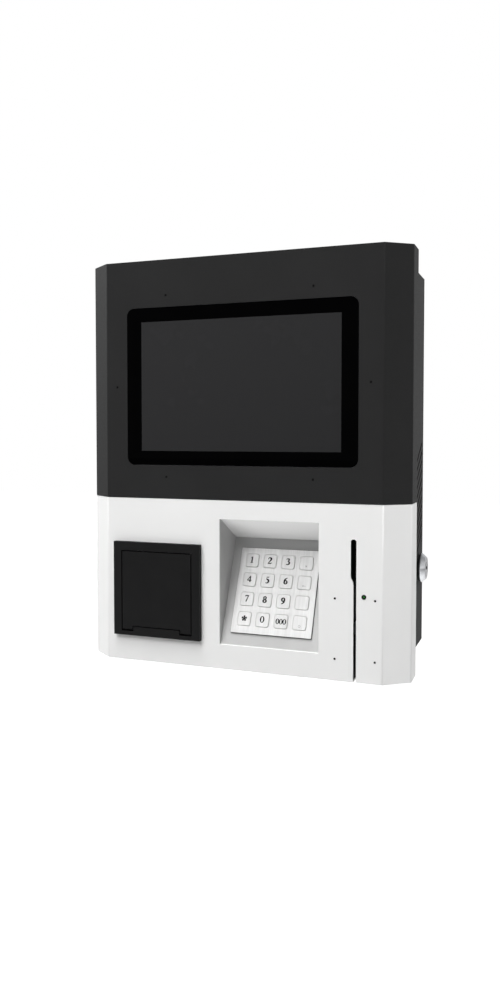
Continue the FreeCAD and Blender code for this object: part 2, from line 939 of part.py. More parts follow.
def lcd_module():
    """Display panel behind the glass, with the raised cover of its driver board."""
    body = new_body("lcd_module")
    panel_front = front + size("glass_thick")
    sketch = front_sketch(body, panel_front + size("panel_thick"))
    rectangle(sketch, size("panel_width"), size("panel_height"), 0, size("screen_up"))
    pad(body, sketch, size("panel_thick"))
    return body


def lcd_bracket():
    """Pressed steel tray that clamps the glass and the panel to the back of the cover."""
    body = new_body("lcd_bracket", 0, inside_front, size("screen_up"))
    tray_depth = size("glass_thick") - skin + size("panel_thick") + 1.5
    rim = front_sketch(body, 1.5)
    rectangle(rim, 285, 205)
    pad(body, rim, 1.5)
    box = front_sketch(body, tray_depth)
    rectangle(box, 256, 171)
    pad(body, box, tray_depth)
    hollow = front_sketch(body, 0)
    rectangle(hollow, 253, 168)
    pocket(body, hollow, tray_depth - 1.5)
    window = front_sketch(body, tray_depth)
    rectangle(window, 150, 90)
    pocket(body, window, 3, back=True)
    return body


def display_board():
    """Display and touch controller board on four legs behind the bracket."""
    body = new_body("display_board", 0, inside_front + 7.4, size("screen_up"))
    legs = front_sketch(body, 5)
    for x in (-84, 84):
        for z in (-20, 20):
            rectangle(legs, 5, 5, x, z)
    plate = front_sketch(body, 6.6)
    rectangle(plate, 176, 50)
    pad(body, plate, 1.6)
    pad(body, legs, 5)
    parts = front_sketch(body, 6.6)
    for width, height, x, z in ((30, 7, -50, -18), (40, 6, 20, 19), (16, 16, 10, -4), (12, 10, -30, 6)):
        rectangle(parts, width, height, x, z)
    pad(body, parts, 4, back=True)
    return body


def front_screws():
    """The ten equal screw heads on the covers: six round the display and four at the card reader."""
    places = [(x, size("screen_up") + z) for x, z in display_screw_places()]
    proud = size("screw_proud")
    heads = []
    for x, z in places + reader_screw_places():
        heads.append(prism("screw_head", 12, size("screw_radius"), proud, x, front, z, -Y_AXIS))
    return group("front_screws", heads)


# Sunk keypad

def keypad_turn():
    """Turn a piece drawn flat so that it faces the customer on the keypad's slope."""
    return FreeCAD.Rotation(X_AXIS, 90 - size("pad_slope").value)


def keypad_body(label, x=0, y=0):
    """A body in the keypad's own frame: x across, y up the slope, z out towards the customer."""
    slope = size("pad_slope")
    x = as_size(x)
    y = as_size(y)
    return new_body(label, size("pad_across") + x, size("pad_back") + y * sine(slope),
                    size("pad_up") + y * cosine(slope), keypad_turn())


def tray_slope_place(distance, depth):
    """Depth and height of a point on the keypad's slope, and depth behind the plate's front."""
    slope = size("pad_slope")
    depth = as_size(depth)
    distance = as_size(distance)
    y = size("pad_back") + sine(slope) * distance + cosine(slope) * depth
    z = size("pad_up") + cosine(slope) * distance - sine(slope) * depth
    return (y, z)


def tray_slope_distance(height, depth):
    """How far along the slope a given height lies."""
    slope = size("pad_slope")
    return (height - size("pad_up") + sine(slope) * depth) / cosine(slope)


def recess_tray():
    """White folded tray: slanted roof, two side walls and the slope that carries the keypad."""
    body = new_body("recess_tray", size("pad_across"))
    wall = size("tray_skin")
    inner_depth = size("pad_thick")
    outer_depth = inner_depth + wall
    foot = size("tray_bottom")
    heel = tray_slope_place(tray_slope_distance(foot, inner_depth), inner_depth)
    outer_heel = tray_slope_place(tray_slope_distance(foot - wall, outer_depth), outer_depth)
    ridge = tray_slope_place(size("tray_ridge"), inner_depth)
    outer_ridge = tray_slope_place(size("tray_ridge") + wall * 0.93, outer_depth)
    roof = (inside_front, size("tray_top"))

    outer = side_sketch(body, 0)
    outline(outer, [(inside_front, foot - wall), outer_heel, outer_ridge,
                    (inside_front, size("tray_top") + wall * 1.13)])
    pad(body, outer, size("tray_width") + wall * 2, both=True)
    inner = side_sketch(body, 0)
    outline(inner, [(inside_front - 1, foot), heel, ridge, roof, (inside_front - 1, roof[1])])
    pocket(body, inner, size("tray_width"), both=True)

    flange = front_sketch(body, inside_front + wall)
    middle = (size("tray_top") + size("tray_bottom")) / 2
    height = size("tray_top") - size("tray_bottom")
    rectangle(flange, size("tray_width") + 20, height + 24, 0, middle)
    rectangle(flange, size("tray_width"), height, 0, middle)
    pad(body, flange, wall)

    window = new_sketch(body, "XY_Plane")
    centre = tray_slope_place(size("key_rows_up"), 0)
    window.AttachmentOffset = FreeCAD.Placement(
        FreeCAD.Vector(0, centre[0].value, centre[1].value), keypad_turn())
    window.setExpression("AttachmentOffset.Base.y", centre[0].text)
    window.setExpression("AttachmentOffset.Base.z", centre[1].text)
    rectangle(window, 80, 83)
    pocket(body, window, 12)
    return body


def key_places():
    """Key centres, row by row from the top left."""
    places = []
    for row in range(4):
        for column in range(4):
            places.append((size("key_pitch_across") * (column - 1.5),
                           size("key_pitch_up") * (1.5 - row) + size("key_rows_up")))
    return places


def pinpad_plate():
    """Brushed steel plate with a window for each key."""
    body = keypad_body("pinpad_plate")
    sketch = plan_sketch(body, -size("pad_thick"))
    rectangle(sketch, size("pad_width"), size("pad_height"))
    pad(body, sketch, size("pad_thick"))
    windows = plan_sketch(body, 0)
    opening = size("key_width") + size("key_gap") * 2
    for place in key_places()[12:]:
        cut_corner_rectangle(windows, opening, opening, size("key_corner") + size("key_gap") / 2, *place)
    row = pocket(body, windows, size("pad_thick") + 1)
    repeat(body, [row], "Y_Axis", size("key_pitch_up"), 4, grows=False)
    return body


def pinpad_key(label, place):
    """A steel key: its cap, the wider flange that keeps it in the plate, and its stem."""
    body = keypad_body(label, *place)
    flange_top = -size("pad_thick") - 0.35
    cap = plan_sketch(body, flange_top)
    cut_corner_rectangle(cap, size("key_width"), size("key_width"), size("key_corner"))
    top = pad(body, cap, size("key_proud") - flange_top)
    rim = [f"Edge{index}" for index, edge in enumerate(top.Shape.Edges, start=1)
           if abs(edge.CenterOfMass.z - size("key_proud").value) < 1e-6]
    fillet(body, top, rim, 0.3, kind="Chamfer")
    flange = plan_sketch(body, flange_top)
    rectangle(flange, size("key_width") + 2.4, size("key_width") + 2.4)
    pad(body, flange, 1.6, back=True)
    stem = plan_sketch(body, flange_top - 1.6)
    rectangle(stem, 5, 5)
    pad(body, stem, 4, back=True)
    return body


KEY_NAMES = ["key_1", "key_2", "key_3", "key_top_right",
             "key_4", "key_5", "key_6", "key_upper_right",
             "key_7", "key_8", "key_9", "key_lower_right",
             "key_star", "key_0", "key_triple_0", "key_bottom_right"]


def pinpad_keys():
    return [pinpad_key(name, place) for name, place in zip(KEY_NAMES, key_places())]


def pinpad_housing():
    """Case behind the tray, open to the keys."""
    body = keypad_body("pinpad_housing")
    depth = 22
    top = -size("pad_thick") - size("tray_skin")
    sketch = plan_sketch(body, top - depth)
    rectangle(sketch, 92, 94)
    pad(body, sketch, depth)
    hollow = plan_sketch(body, top)
    rectangle(hollow, 82, 85, 0, size("key_rows_up"))
    pocket(body, hollow, 12)
    socket = plan_sketch(body, top - depth)
    rectangle(socket, 24, 10, 0, -36)
    pocket(body, socket, 5, back=True)
    return body


def pinpad_board():
    """Switch board with a dome under each key's stem."""
    body = keypad_body("pinpad_board")
    floor = -size("pad_thick") - size("tray_skin") - 12
    sketch = plan_sketch(body, floor)
    rectangle(sketch, 81, 84, 0, size("key_rows_up"))
    pad(body, sketch, 1.6)
    domes = plan_sketch(body, floor + 1.6)
    for x, y in key_places():
        rectangle(domes, 6, 6, x, y)
    pad(body, domes, 1.4)
    return body


# Receipt printer

def printer_bezel():
    """Square front frame, with the fixed hinge bar between the flap's two ears."""
    body = new_body("printer_bezel", size("printer_across"))
    sketch = front_sketch(body, front)
    rectangle(sketch, size("bezel_width"), size("bezel_width"), 0, size("printer_up"))
    pad(body, sketch, size("bezel_proud"))
    neck = front_sketch(body, inside_front)
    rectangle(neck, size("printer_box"), size("printer_box"), 0, size("printer_up"))
    pad(body, neck, skin)
    opening = front_sketch(body, front - size("bezel_proud"))
    half = size("flap_width") / 2 + size("flap_gap")
    top = size("flap_top") + size("flap_gap")
    bottom = size("flap_bottom") - size("flap_gap")
    bar = size("notch_width") / 2
    bar_top = size("notch_top") - 0.5
    outline(opening, [(-half, bottom), (-bar, bottom), (-bar, bar_top), (bar, bar_top), (bar, bottom),
                      (half, bottom), (half, top), (-half, top)])
    pocket(body, opening, size("bezel_proud") + skin + 1)
    bore = side_sketch(body, 0)
    circle(bore, size("flap_pin_radius"), size("flap_hinge_back"), size("flap_hinge_up"))
    pocket(body, bore, size("flap_width") + size("flap_gap") * 2 + 6, both=True)
    return body


def printer_hinge_pin():
    length = size("flap_width") + size("flap_gap") * 2 + 6
    return rod("printer_hinge_pin", size("flap_pin_radius"), length, size("printer_across") - length / 2,
               size("flap_hinge_back"), size("flap_hinge_up"), X_AXIS)


def printer_body():
    """Printer case with a round paper bucket and room for the roller above it."""
    body = new_body("printer_body", size("printer_across"))
    box = front_sketch(body, inside_front + size("printer_box_depth"))
    rectangle(box, size("printer_box"), size("printer_box"), 0, size("printer_up"))
    pad(body, box, size("printer_box_depth"))

    bucket = side_sketch(body, 0)
    centre_y = size("roll_back")
    centre_z = size("roll_up")
    radius = size("bucket_radius")
    curve = arc(bucket, radius, centre_y, centre_z, -90, 90)
    mouth = inside_front - 1
    corners = [(centre_y, centre_z + radius), (mouth, centre_z + radius), (mouth, centre_z - radius),
               (centre_y, centre_z - radius)]
    lines = []
    for start, end in zip(corners, corners[1:]):
        lines.append(bucket.addGeometry(Part.LineSegment(vector(*start), vector(*end))))
    join_tangent(bucket, curve, 2, lines[0], 1)
    bucket.addConstraint(Sketcher.Constraint("Coincident", lines[0], 2, lines[1], 1))
    bucket.addConstraint(Sketcher.Constraint("Coincident", lines[1], 2, lines[2], 1))
    join_tangent(bucket, lines[2], 2, curve, 1)
    pin_point(bucket, lines[1], 1, *corners[1])
    constrain(bucket, "DistanceX", (-1, 1, lines[1], 2), mouth)
    pocket(body, bucket, size("bucket_width"), both=True)

    head_room = front_sketch(body, inside_front)
    rectangle(head_room, size("flap_width") + 2, 34, 0, size("flap_top") - 15.5)
    pocket(body, head_room, 14.2)
    foot_room = front_sketch(body, inside_front)
    rectangle(foot_room, size("flap_width") + 2, 20, 0, size("flap_bottom") + 9)
    pocket(body, foot_room, 2)
    gear_room = front_sketch(body, inside_front)
    rectangle(gear_room, 14, 23, 39.7, size("roller_up"))
    pocket(body, gear_room, 30)
    bar_seat = front_sketch(body, inside_front)
    rectangle(bar_seat, 60, 4, 0, size("flap_top") + 2.5)
    pocket(body, bar_seat, 0.8)
    return body


def print_head():
    """Flat heater plate on its aluminium carrier, close behind the roller."""
    body = new_body("print_head", size("printer_across"))
    plate_front = size("roller_back") + size("roller_radius") + 0.35
    rear = inside_front + 14.2
    sketch = front_sketch(body, rear)
    rectangle(sketch, size("roller_length") + 4, 14, 0, size("roller_up"))
    pad(body, sketch, rear - plate_front)
    groove = front_sketch(body, plate_front)
    rectangle(groove, size("roller_length") + 5, 3, 0, size("roller_up") - 4)
    pocket(body, groove, 1)
    return body


def tear_bar():
    """Thin toothed steel strip above the paper exit."""
    body = new_body("tear_bar", size("printer_across"))
    sketch = front_sketch(body, inside_front + 0.8)
    tooth = 3.0
    count = 19
    low = size("flap_top") + size("flap_gap") - 0.6
    root = low + 0.8
    top = root + 2.4
    points = []
    for index in range(count):
        left = -count * tooth / 2 + index * tooth
        points.append((as_size(left), root))
        points.append((as_size(left + tooth / 2), low))
    points.append((as_size(count * tooth / 2), root))
    points.append((as_size(count * tooth / 2), top))
    points.append((as_size(-count * tooth / 2), top))
    outline(sketch, points)
    pad(body, sketch, 0.8)
    return body


def gear_outline(sketch, teeth, module, turn, x=0, y=0):
    """Straight-sided gear teeth, thinned a little so that a pair runs freely."""
    pitch_radius = module * teeth / 2
    tip = pitch_radius + module * 0.9
    root = pitch_radius - module * 1.15
    step = 360 / teeth
    points = []
    for index in range(teeth):
        centre = index * step + turn
        for radius, shift in ((root, -0.31), (tip, -0.11), (tip, 0.11), (root, 0.31)):
            angle = math.radians(centre + shift * step)
            points.append((radius * math.cos(angle) + x, radius * math.sin(angle) + y))
    outline(sketch, points)


ROLLER_TEETH = 12
DRIVE_TEETH = 24


def gear_distance():
    return size("gear_module") * ((ROLLER_TEETH + DRIVE_TEETH) / 2) + 0.2


def drive_gear():
    """Gear on its own axle behind the roller's gear."""
    body = new_body("drive_gear", size("printer_across") + 35, size("roller_back") + gear_distance(),
                    size("roller_up"))
    sketch = side_sketch(body, 0)
    gear_outline(sketch, DRIVE_TEETH, size("gear_module"), 180 / DRIVE_TEETH)
    pad(body, sketch, 3.6)
    axle = side_sketch(body, 3.6)
    circle(axle, 1)
    pad(body, axle, 7.7)
    return body


def printer_motor():
    """Small square stepper motor that closes the gear opening in the printer's side wall."""
    body = new_body("printer_motor", size("printer_across") + size("printer_box") / 2,
                    size("roller_back") + gear_distance(), size("roller_up"))
    plate = side_sketch(body, 0)
    rectangle(plate, 30, 25, -2, 0)
    pad(body, plate, 1)
    can = side_sketch(body, 1)
    cut_corner_rectangle(can, 20, 20, 3)
    pad(body, can, 8.5)
    return body


def printer_door():
    """Flap with two hinge ears at its foot and two cheeks that carry the roller."""
    body = new_body("printer_door", size("printer_across"))
    face = front - size("bezel_proud") + 0.1
    half = size("flap_width") / 2
    bar = size("notch_width") / 2 + size("flap_gap")
    bottom = size("flap_bottom") + 2
    plate = front_sketch(body, face + size("flap_thick"))
    notch = size("notch_top") + 0.5
    outline(plate, [(-half, bottom), (-bar, bottom), (-bar, notch), (bar, notch), (bar, bottom),
                    (half, bottom), (half, size("flap_top")), (-half, size("flap_top"))])
    pad(body, plate, size("flap_thick"))
    ears = side_sketch(body, 0)
    cut_corner_rectangle(ears, 4, 4, 1.2, size("flap_hinge_back"), size("flap_hinge_up"))
    pad(body, ears, half * 2, both=True)
    between = front_sketch(body, face)
    rectangle(between, bar * 2, 6, 0, notch - 3)
    pocket(body, between, 8)
    cheek = side_sketch(body, 0)
    back = size("roller_back")
    up = size("roller_up")
    outline(cheek, [(face + 1, up - 14), (back + 1, up - 4), (back + 4, up - 2), (back + 4, up + 2),
                    (back + 1, up + 4), (face + 1, up + 4)])
    pad(body, cheek, size("roller_length") + 7, both=True)
    gap = front_sketch(body, face + size("flap_thick"))
    rectangle(gap, size("roller_length") + 2, 24, 0, up - 4)
    pocket(body, gap, 16)
    bore = side_sketch(body, 0)
    circle(bore, size("shaft_radius") + 0.05, back, up)
    pocket(body, bore, size("flap_width"), both=True)
    pin_bore = side_sketch(body, 0)
    circle(pin_bore, size("flap_pin_radius") + 0.05, size("flap_hinge_back"), size("flap_hinge_up"))
    pocket(body, pin_bore, size("flap_width") + 2, both=True)
    return body


def platen_roller():
    """Rubber sleeve that carries the paper past the print head."""
    body = new_body("platen_roller", size("printer_across"), size("roller_back"), size("roller_up"))
    sketch = side_sketch(body, 0)
    circle(sketch, size("roller_radius"))
    circle(sketch, size("shaft_radius"))
    pad(body, sketch, size("roller_length"), both=True)
    return body


def platen_shaft():
    """Steel shaft of the roller, with the gear on its right end."""
    body = new_body("platen_shaft", size("printer_across"), size("roller_back"), size("roller_up"))
    rod_sketch = side_sketch(body, 0)
    circle(rod_sketch, size("shaft_radius"))
    pad(body, rod_sketch, size("roller_length") + 12, both=True)
    teeth = side_sketch(body, 35)
    gear_outline(teeth, ROLLER_TEETH, size("gear_module"), 0)
    pad(body, teeth, 3.6)
    return body


def paper_roll():
    """Receipt paper on its core, loose in the bucket."""
    body = new_body("paper_roll", size("printer_across"), size("roll_back"), size("roll_up"))
    sketch = side_sketch(body, 0)
    circle(sketch, size("roll_radius"))
    regular_outline(sketch, 12, as_size(6))
    pad(body, sketch, 57.5, both=True)
    return body


# Card reader

def card_reader_body():
    """Moulded reader with the swipe track, fixed by four ears behind the cover."""
    body = new_body("card_reader_body")
    across = size("reader_across")
    flange = front_sketch(body, inside_front + 3)
    rectangle(flange, size("reader_pitch_across") + 10, size("reader_pitch_up") + 12, across,
              size("reader_up"))
    pad(body, flange, 3)
    low = size("kiosk_height") / -2 + skin
    high = size("slot_top") + 12
    middle = size("slot_right") - size("slot_wide") / 2
    guide = front_sketch(body, inside_front + 18.6)
    rectangle(guide, 19, high - low, middle, (high + low) / 2)
    pad(body, guide, 18.6)
    core = front_sketch(body, inside_front + 30)
    rectangle(core, 19, 122, middle, high - 61)
    pad(body, core, 30)
    track = front_sketch(body, inside_front)
    card_slot_outline(track)
    pocket(body, track, size("slot_depth") - skin)
    head_room = front_sketch(body, inside_front + 4)
    rectangle(head_room, 8, 13, size("slot_right") - size("slot_narrow") - 4, size("reader_up"))
    pocket(body, head_room, 9.4)
    return body


def magnetic_head():
    """Read head in the left wall of the track, its curved face just out of the wall."""
    right = size("slot_right") - size("slot_narrow")
    body = new_body("magnetic_head", right, inside_front + 8.7, size("reader_up"))
    sketch = plan_sketch(body, -6)
    outline(sketch, [(-7, -4), (-0.6, -4), (0.25, -1.6), (0.25, 1.6), (-0.6, 4), (-7, 4)])
    pad(body, sketch, 12)
    return body


def reader_board():
    body = new_body("reader_board", size("slot_right") - size("slot_wide") / 2)
    sketch = front_sketch(body, inside_front + 31.6)
    middle = size("reader_up") + 40
    rectangle(sketch, 19, 90, 0, middle)
    pad(body, sketch, 1.6)
    parts = front_sketch(body, inside_front + 31.6)
    rectangle(parts, 14, 8, 0, middle - 36)
    rectangle(parts, 10, 10, 1, middle + 6)
    pad(body, parts, 4, back=True)
    return body


def lamp_ring():
    body = new_body("lamp_ring", size("lamp_across"), 0, size("lamp_up"))
    sketch = new_sketch(body, "XY_Plane")
    outer = size("lamp_radius")
    inner = outer - 0.9
    face = front - 0.4
    outline(sketch, [(inner, face), (outer, face), (outer, inside_front), (inner, inside_front)])
    revolve(body, sketch, "V_Axis")
    return body


def lamp_lens():
    """Green light guide of the status lamp, with a low dome."""
    body = new_body("lamp_lens", size("lamp_across"), 0, size("lamp_up"))
    sketch = new_sketch(body, "XY_Plane")
    radius = size("lamp_radius") - 0.9
    outline(sketch, [(0, inside_front), (0, front - 0.2), (radius, front - 0.2), (radius, inside_front)])
    revolve(body, sketch, "V_Axis")
    return body


nodes = [
    rear_housing(), housing_seal(), cable_edging(), hinge_housing_leaf(), hinge_door_leaf(), hinge_pin(),
    lock_gasket(), lock_body(), lock_nut(), lock_plug(), lock_cam(),
    power_supply(), main_board(), heat_sink(), board_spacers(),
    upper_cover(), lower_cover(), door_frame(), latch_bracket(),
    touch_glass(), lcd_module(), lcd_bracket(), display_board(), front_screws(),
    recess_tray(), pinpad_plate(), *pinpad_keys(), pinpad_housing(), pinpad_board(),
    printer_bezel(), printer_hinge_pin(), printer_body(), print_head(), tear_bar(), drive_gear(),
    printer_motor(), printer_door(), platen_roller(), platen_shaft(), paper_roll(),
    card_reader_body(), magnetic_head(), reader_board(), lamp_ring(), lamp_lens(),
]

document.recompute()
for item in document.Objects:
    if "Invalid" in item.State or "Error" in item.State:
        raise ValueError(f"{item.Label} failed: {item.State}")
for node in nodes:
    if node.Shape.isNull() or not node.Shape.isValid():
        raise ValueError(f"{node.Label} has no valid shape")
for node in nodes:
    node.Shape.exportStep(f"parts/{node.Label}.step")
print(len(nodes), "parts written")
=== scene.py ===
import json
import math
import bmesh
import bpy
from mathutils import Matrix, Vector


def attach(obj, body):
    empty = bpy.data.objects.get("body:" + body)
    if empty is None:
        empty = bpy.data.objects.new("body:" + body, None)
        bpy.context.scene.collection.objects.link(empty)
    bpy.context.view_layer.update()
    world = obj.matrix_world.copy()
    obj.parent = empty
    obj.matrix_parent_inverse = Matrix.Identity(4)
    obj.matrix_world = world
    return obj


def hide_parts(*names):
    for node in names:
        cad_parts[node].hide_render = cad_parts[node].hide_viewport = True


# Wall-mounted self-service kiosk: finishes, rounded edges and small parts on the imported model.
# Pieces are drawn in millimetres in the part's frame: x to the customer's right, y into the wall and
# z up from the middle of the wall pattern. MM turns them into metres, which lamps and textures use.

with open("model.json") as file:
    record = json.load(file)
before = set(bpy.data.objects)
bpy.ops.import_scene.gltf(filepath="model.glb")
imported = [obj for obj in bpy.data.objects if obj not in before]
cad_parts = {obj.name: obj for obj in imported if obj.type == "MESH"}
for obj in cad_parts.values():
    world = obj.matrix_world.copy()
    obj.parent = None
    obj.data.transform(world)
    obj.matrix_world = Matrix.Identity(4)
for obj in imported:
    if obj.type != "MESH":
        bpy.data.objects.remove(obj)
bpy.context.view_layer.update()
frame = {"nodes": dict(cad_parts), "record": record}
nodes = frame["nodes"]
record = frame["record"]
MM = 0.001

# Sizes and places that several pieces share

FRONT_FACE = 150
SCREEN_UP = 80.5
SCREEN_SCREWS = [(-137.5, SCREEN_UP), (137.5, SCREEN_UP)]
SCREEN_SCREWS += [(x, SCREEN_UP + z) for x in (-80, 80) for z in (-95, 95)]
READER_SCREWS = [(122.75 + x, -160.8 + z) for x in (-20, 20) for z in (-30, 30)]
LOCK_AXIS = Matrix.Translation((-26, -115.3, 0))
LOCK_FACE = 173.5
KEYPAD_SLOPE = math.radians(23.2)
KEY_PITCH_ACROSS = 20
KEY_PITCH_UP = 20.8
KEY_TOP = 0.6
KEY_NAMES = ["key_1", "key_2", "key_3", "key_top_right",
             "key_4", "key_5", "key_6", "key_upper_right",
             "key_7", "key_8", "key_9", "key_lower_right",
             "key_star", "key_0", "key_triple_0", "key_bottom_right"]

# Planes that pieces are drawn on, each with x across, y up and z towards the viewer: the front and
# the right side as seen from outside, the rear as seen from the wall, and the keypad's sloping face.
# The keypad's back is that face turned over about x, so its y runs down the slope.

FRONT = Matrix(((1, 0, 0, 0), (0, 0, -1, 0), (0, 1, 0, 0), (0, 0, 0, 1)))
RIGHT_SIDE = Matrix(((0, 0, 1, 0), (1, 0, 0, 0), (0, 1, 0, 0), (0, 0, 0, 1)))
BACK = Matrix(((-1, 0, 0, 0), (0, 0, 1, 0), (0, 1, 0, 0), (0, 0, 0, 1)))
KEYPAD_MIDDLE = Matrix.Translation((33.2, -125.7, -132.9))
KEYPAD = KEYPAD_MIDDLE @ Matrix.Rotation(math.pi / 2 - KEYPAD_SLOPE, 4, "X")
KEYPAD_BACK = KEYPAD @ Matrix.Rotation(math.pi, 4, "X")

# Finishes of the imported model's parts: each part has that of its slot, but for two parts
SLOT_OF_NODE = {row["node"]: row["material_slot"] for row in record["subparts"]}
# The printer's hinge pin takes black ink in place of zinc, as painted shade in the gaps at the ends of
# the printer door.
# The recess tray takes the white coat darkened as painted shade for the deep recess.
OTHER_FINISH = {"recess_tray": "painted_shade_tray_paint", "printer_hinge_pin": "black_ink"}

# How wide the edges of these parts are rounded, in millimetres
SOFT_EDGES = {"upper_cover": 0.35, "lower_cover": 0.35, "rear_housing": 0.3, "recess_tray": 0.3,
              "printer_bezel": 0.15, "printer_door": 0.12, "card_reader_body": 0.3, "lcd_bracket": 0.4,
              "printer_body": 0.4, "printer_motor": 0.4, "lock_plug": 0.25, "lock_cam": 0.3}


# Node building; the owner is a material or the world

def link(owner, start, end):
    owner.node_tree.links.new(start, end)


def feed(owner, value, socket):
    """Give a socket a number or a colour, or link it to another node's output."""
    if isinstance(value, bpy.types.NodeSocket):
        link(owner, value, socket)
    elif isinstance(value, tuple):
        socket.default_value = (*value, 1)
    else:
        socket.default_value = value


def calculate(owner, operation, first, second):
    """One step of arithmetic, such as MULTIPLY or MAXIMUM, on two values."""
    node = owner.node_tree.nodes.new("ShaderNodeMath")
    node.operation = operation
    feed(owner, first, node.inputs[0])
    feed(owner, second, node.inputs[1])
    return node.outputs[0]


def seen_directly(owner, path):
    """One for rays from the camera, also those through clear things, and otherwise zero."""
    return calculate(owner, "MAXIMUM", path.outputs["Is Camera Ray"],
                     path.outputs["Is Transmission Ray"])


def mix_shaders(owner, share, first, second):
    """The first shader, with a share of the second in its place."""
    mix = owner.node_tree.nodes.new("ShaderNodeMixShader")
    link(owner, share, mix.inputs[0])
    link(owner, first, mix.inputs[1])
    link(owner, second, mix.inputs[2])
    return mix.outputs[0]


# Camera

def make_camera():
    """Stands right of the kiosk and looks slightly down at it, as in the photograph."""
    data = bpy.data.cameras.new("camera")
    data.sensor_width = 36
    data.lens = 30.113
    data.shift_y = -0.0335
    data.clip_start = 0.01
    data.clip_end = 50
    camera = bpy.data.objects.new("camera", data)
    bpy.context.scene.collection.objects.link(camera)
    yaw = -0.3534
    pitch = 0.0391
    ahead = Vector((math.sin(yaw) * math.cos(pitch), math.cos(yaw) * math.cos(pitch), -math.sin(pitch)))
    right = Vector((math.cos(yaw), -math.sin(yaw), 0))
    up = right.cross(ahead)
    turn = Matrix((right, up, -ahead)).transposed().to_4x4()
    place = Vector((307.04, -944.49, 30.80)) * MM
    camera.matrix_world = Matrix.Translation(place) @ turn
    bpy.context.scene.camera = camera


# Light, floor and background

def make_world():
    """White to the eye; in reflections it darkens overhead, as a room does; as a light it is faint."""
    world = bpy.data.worlds.new("studio")
    bpy.context.scene.world = world
    world.use_nodes = True
    tree = world.node_tree
    tree.nodes.clear()
    skies = {}
    for name, colour, strength in (("lit", (0.97, 0.985, 1), 0.02), ("seen", (1, 1, 1), 1.0),
                                   ("mirrored", (1, 1, 1), 1.0)):
        skies[name] = tree.nodes.new("ShaderNodeBackground")
        feed(world, colour, skies[name].inputs["Color"])
        feed(world, strength, skies[name].inputs["Strength"])
    direction = tree.nodes.new("ShaderNodeTexCoord")
    split = tree.nodes.new("ShaderNodeSeparateXYZ")
    height = tree.nodes.new("ShaderNodeMapRange")
    height.inputs["From Min"].default_value = 0.1
    height.inputs["From Max"].default_value = 0.75
    height.inputs["To Min"].default_value = 1.0
    height.inputs["To Max"].default_value = 0.35
    link(world, direction.outputs["Generated"], split.inputs[0])
    link(world, split.outputs["Z"], height.inputs["Value"])
    link(world, height.outputs["Result"], skies["mirrored"].inputs["Strength"])
    path = tree.nodes.new("ShaderNodeLightPath")
    direct = mix_shaders(world, seen_directly(world, path), skies["lit"].outputs[0],
                         skies["seen"].outputs[0])
    sky = mix_shaders(world, path.outputs["Is Glossy Ray"], direct, skies["mirrored"].outputs[0])
    output = tree.nodes.new("ShaderNodeOutputWorld")
    link(world, sky, output.inputs["Surface"])


def make_lamp(name, across, up, distance, size, power, glints=False):
    """A round soft lamp, aimed at the kiosk; angles are in degrees from straight in front."""
    data = bpy.data.lights.new(name, "AREA")
    data.shape = "DISK"
    data.size = size
    data.energy = power
    lamp = bpy.data.objects.new(name, data)
    bpy.context.scene.collection.objects.link(lamp)
    across = math.radians(across)
    up = math.radians(up)
    aim = Vector((0, -0.1, 0))
    away = Vector((math.sin(across) * math.cos(up), -math.cos(across) * math.cos(up), math.sin(up)))
    lamp.location = aim + away * distance
    lamp.rotation_mode = "QUATERNION"
    lamp.rotation_quaternion = (-away).to_track_quat("-Z", "Y")
    lamp.visible_glossy = glints
    return lamp


def make_floor():
    """Pale floor a metre below the kiosk; it glows, less in reflections than to the eye."""
    mesh = bpy.data.meshes.new("floor")
    shape = bmesh.new()
    bmesh.ops.create_grid(shape, x_segments=8, y_segments=8, size=14)
    shape.to_mesh(mesh)
    shape.free()
    floor = bpy.data.objects.new("floor", mesh)
    floor.location = (0, 0, -1.2)
    bpy.context.scene.collection.objects.link(floor)
    material = new_material("floor_pale", (0.7, 0.7, 0.7), roughness=0.9, specular=0.1)
    grain = noise(material, object_place(material), 3)
    tint(material, grain, (0.69, 0.69, 0.69), (0.72, 0.72, 0.72))
    glow = material.node_tree.nodes.new("ShaderNodeEmission")
    path = material.node_tree.nodes.new("ShaderNodeLightPath")
    mirrored = calculate(material, "MULTIPLY", path.outputs["Is Glossy Ray"], 0.45)
    strength = calculate(material, "MAXIMUM", seen_directly(material, path), mirrored)
    link(material, strength, glow.inputs["Strength"])
    both = material.node_tree.nodes.new("ShaderNodeAddShader")
    link(material, principled(material).outputs[0], both.inputs[0])
    link(material, glow.outputs[0], both.inputs[1])
    link(material, both.outputs[0], material.node_tree.nodes["Material Output"].inputs["Surface"])
    mesh.materials.append(material)


# Material building; colours are linear red, green and blue

def principled(material):
    return material.node_tree.nodes["Principled BSDF"]


def new_material(name, colour, metallic=0.0, roughness=0.5, specular=0.5):
    material = bpy.data.materials.new(name)
    material.use_nodes = True
    material.diffuse_color = (*colour, 1)
    shader = principled(material)
    shader.inputs["Base Color"].default_value = (*colour, 1)
    shader.inputs["Metallic"].default_value = metallic
    shader.inputs["Roughness"].default_value = roughness
    shader.inputs["Specular IOR Level"].default_value = specular
    return material


def object_place(material, scale=(1, 1, 1), turn=(0, 0, 0), shift=(0, 0, 0)):
    """A point on the surface, shifted, turned and then stretched, in metres."""
    coordinates = material.node_tree.nodes.new("ShaderNodeTexCoord")
    move = material.node_tree.nodes.new("ShaderNodeMapping")
    move.inputs["Location"].default_value = shift
    rotate = material.node_tree.nodes.new("ShaderNodeMapping")
    rotate.inputs["Rotation"].default_value = turn
    stretch = material.node_tree.nodes.new("ShaderNodeMapping")
    stretch.inputs["Scale"].default_value = scale
    link(material, coordinates.outputs["Object"], move.inputs["Vector"])
    link(material, move.outputs["Vector"], rotate.inputs["Vector"])
    link(material, rotate.outputs["Vector"], stretch.inputs["Vector"])
    return stretch.outputs["Vector"]


def front_place(material):
    """A point on the surface with x across and y up, for patterns seen from the front."""
    return object_place(material, turn=(math.radians(-90), 0, 0))


